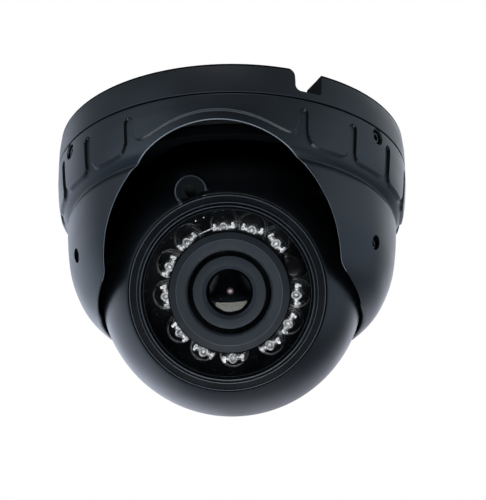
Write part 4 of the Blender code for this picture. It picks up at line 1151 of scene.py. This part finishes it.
dress(M_RUBBER, "base_o_ring", "ball_o_ring", "window_gasket", "cable_gland", "cable_grommet")
dress(M_NYLON, "ball_retainer_left", "ball_retainer_right")
dress(M_ZINC, *["retainer_screw_%d" % i for i in (1, 2, 3, 4)], *["ball_screw_%d" % i for i in (1, 2, 3)],
      *["board_screw_%d" % i for i in (1, 2, 3)])
dress(M_BRASS, *["board_spacer_%d" % i for i in (1, 2, 3, 4)])
dress(M_DARK, "lens_holder", "lens_lock_ring", "microphone")
dress(M_LEDBOARD, "led_board")
dress(M_BOARD, "main_board")
dress(M_CHIP, "image_processor", "image_sensor")
dress(M_WHITE, "board_connector")
dress(M_FILTER, "ir_cut_filter")
dress(M_LENS, "lens_rear_glass")


# ====================================================================== stage
def floor():
    bm = bmesh.new()
    bmesh.ops.create_grid(bm, x_segments=8, y_segments=8, size=4.0, matrix=Matrix.Translation((0, 0, -1.2)))
    ob = from_bm("studio_floor", bm)
    m = Mat("pale_floor")
    soft = m.noise(160.0, 2.0)
    m.set(color=m.blend(soft, (0.80, 0.80, 0.80), (0.83, 0.83, 0.83)), rough=0.7)
    wear(ob, m.mat)
    ob.visible_glossy = False
    ob.visible_diffuse = False
    ob.visible_transmission = False
    ob.visible_shadow = False


floor()


def lobe(t, vec, direction, lo, hi, strength, tint=(1, 1, 1)):
    d = t.nodes.new('ShaderNodeVectorMath')
    d.operation = 'DOT_PRODUCT'
    t.links.new(vec, d.inputs[0])
    d.inputs[1].default_value = Vector(direction).normalized()
    m = t.nodes.new('ShaderNodeMapRange')
    m.interpolation_type = 'SMOOTHSTEP'
    m.inputs['From Min'].default_value = lo
    m.inputs['From Max'].default_value = hi
    m.inputs['To Min'].default_value = 0.0
    m.inputs['To Max'].default_value = strength
    t.links.new(d.outputs['Value'], m.inputs['Value'])
    s = t.nodes.new('ShaderNodeVectorMath')
    s.operation = 'SCALE'
    s.inputs[0].default_value = tint
    t.links.new(m.outputs[0], s.inputs['Scale'])
    return s.outputs[0]


def world():
    w = bpy.data.worlds.new("light_tent")
    scene.world = w
    w.use_nodes = True
    t = w.node_tree
    bg = t.nodes["Background"]
    tc = t.nodes.new('ShaderNodeTexCoord')
    vec = tc.outputs['Generated']
    base = t.nodes.new('ShaderNodeCombineXYZ')
    for i, c in enumerate((0.003, 0.004, 0.006)):
        base.inputs[i].default_value = c
    total = base.outputs[0]

    def way(az, el):
        a_, e_ = math.radians(az), math.radians(el)
        return math.sin(a_) * math.cos(e_), -math.cos(a_) * math.cos(e_), math.sin(e_)
    lobes = [
        ((0, -0.25, -1), 0.93, 0.97, (0.30, 0.60, 0.88)),
        ((0, -0.25, -1), 0.74, 0.95, (0.10, 0.16, 0.22)),
        (way(-90, -45), 0.75, 0.97, (0.11, 0.16, 0.25)),
        (way(90, -45), 0.75, 0.97, (0.13, 0.17, 0.20)),
        (way(180, -50), 0.75, 0.97, (0.24, 0.27, 0.31)),
        (way(-90, 0), 0.75, 0.97, (0.14, 0.18, 0.23)),             # tent walls
        (way(-50, 0), 0.80, 0.97, (0.92, 1.17, 1.42)),
        (way(-135, 0), 0.75, 0.97, (1.04, 1.17, 1.40)),
        (way(90, 0), 0.75, 0.97, (0.49, 0.60, 0.76)),
        (way(50, 0), 0.80, 0.97, (0.34, 0.42, 0.49)),
        (way(135, 0), 0.75, 0.97, (0.12, 0.15, 0.18)),
        (way(180, 0), 0.75, 0.97, (0.80, 0.81, 0.95)),             # backdrop
        (way(0, 62), 0.955, 0.975, (1.8, 1.8, 1.8)),               # small box high in front
        (way(180, 45), 0.75, 0.97, (0.25, 0.26, 0.28)),
        (way(0, 50), 0.75, 0.97, (0.12, 0.13, 0.14)),              # soft fill from above
        (way(-90, 45), 0.75, 0.97, (0.21, 0.23, 0.25)),
        (way(90, 45), 0.75, 0.97, (0.26, 0.30, 0.32)),
        ((0, 0, 1), 0.75, 0.97, (0.03, 0.06, 0.14)),
        (way(152, 32), 0.83, 0.97, (0.80, 0.85, 0.91)),            # backdrop's bright corners
        (way(-150, 28), 0.82, 0.96, (0.26, 0.28, 0.31)),
    ]
    for d, lo, hi, tint in lobes:
        a = t.nodes.new('ShaderNodeVectorMath')
        a.operation = 'ADD'
        t.links.new(total, a.inputs[0])
        t.links.new(lobe(t, vec, d, lo, hi, 1.0, tint), a.inputs[1])
        total = a.outputs[0]
    lp = t.nodes.new('ShaderNodeLightPath')
    mix = t.nodes.new('ShaderNodeMix')
    mix.data_type = 'RGBA'
    t.links.new(lp.outputs['Is Camera Ray'], mix.inputs['Factor'])
    t.links.new(total, mix.inputs[6])
    mix.inputs[7].default_value = (1, 1, 1, 1)
    t.links.new(mix.outputs[2], bg.inputs['Color'])
    bg.inputs['Strength'].default_value = 1.0


world()


def softbox():
    """Rectangular soft light below and in front of the camera body."""
    data = bpy.data.lights.new("softbox", 'AREA')
    data.shape = 'RECTANGLE'
    data.size, data.size_y = 0.42, 0.20
    data.energy = 3.6 * math.pi * data.size * data.size_y
    data.color = (1.0, 0.985, 0.95)
    ob = bpy.data.objects.new("softbox", data)
    scene.collection.objects.link(ob)
    el = math.radians(-62.0)
    away = Vector((0, -math.cos(el), math.sin(el)))
    side = Vector((1, 0, 0))
    up = away.cross(side)
    ob.matrix_world = Matrix.Translation(Vector((0, 0, BALL_Z * MM)) + away * 0.5) @ Matrix((side, up, away)).transposed().to_4x4()


softbox()


def camera():
    az, el = math.radians(5.8), math.radians(-24.7)
    c = Vector((0, 0, BALL_Z * MM))
    back = Vector((math.sin(az) * math.cos(el), -math.cos(az) * math.cos(el), math.sin(el)))
    pos = c + back * 0.5
    fwd = -back
    right = fwd.cross(Vector((0, 0, 1))).normalized()
    up = right.cross(fwd)
    yaw, pit = math.radians(0.249), math.radians(0.787)
    f1 = (fwd * math.cos(yaw) + right * math.sin(yaw)).normalized()
    r1 = f1.cross(up).normalized()
    u1 = r1.cross(f1)
    f2 = (f1 * math.cos(pit) + u1 * math.sin(pit)).normalized()
    u2 = r1.cross(f2)
    data = bpy.data.cameras.new("camera")
    data.sensor_fit = 'HORIZONTAL'
    data.sensor_width = 36.0
    data.lens = 2518.6 / 486.0 * 36.0
    data.clip_start, data.clip_end = 0.02, 20.0
    ob = bpy.data.objects.new("camera", data)
    scene.collection.objects.link(ob)
    rot = Matrix((r1, u2, -f2)).transposed()
    ob.matrix_world = Matrix.Translation(pos) @ rot.to_4x4()
    scene.camera = ob


camera()
scene.view_settings.view_transform = 'Standard'
scene.view_settings.look = 'None'
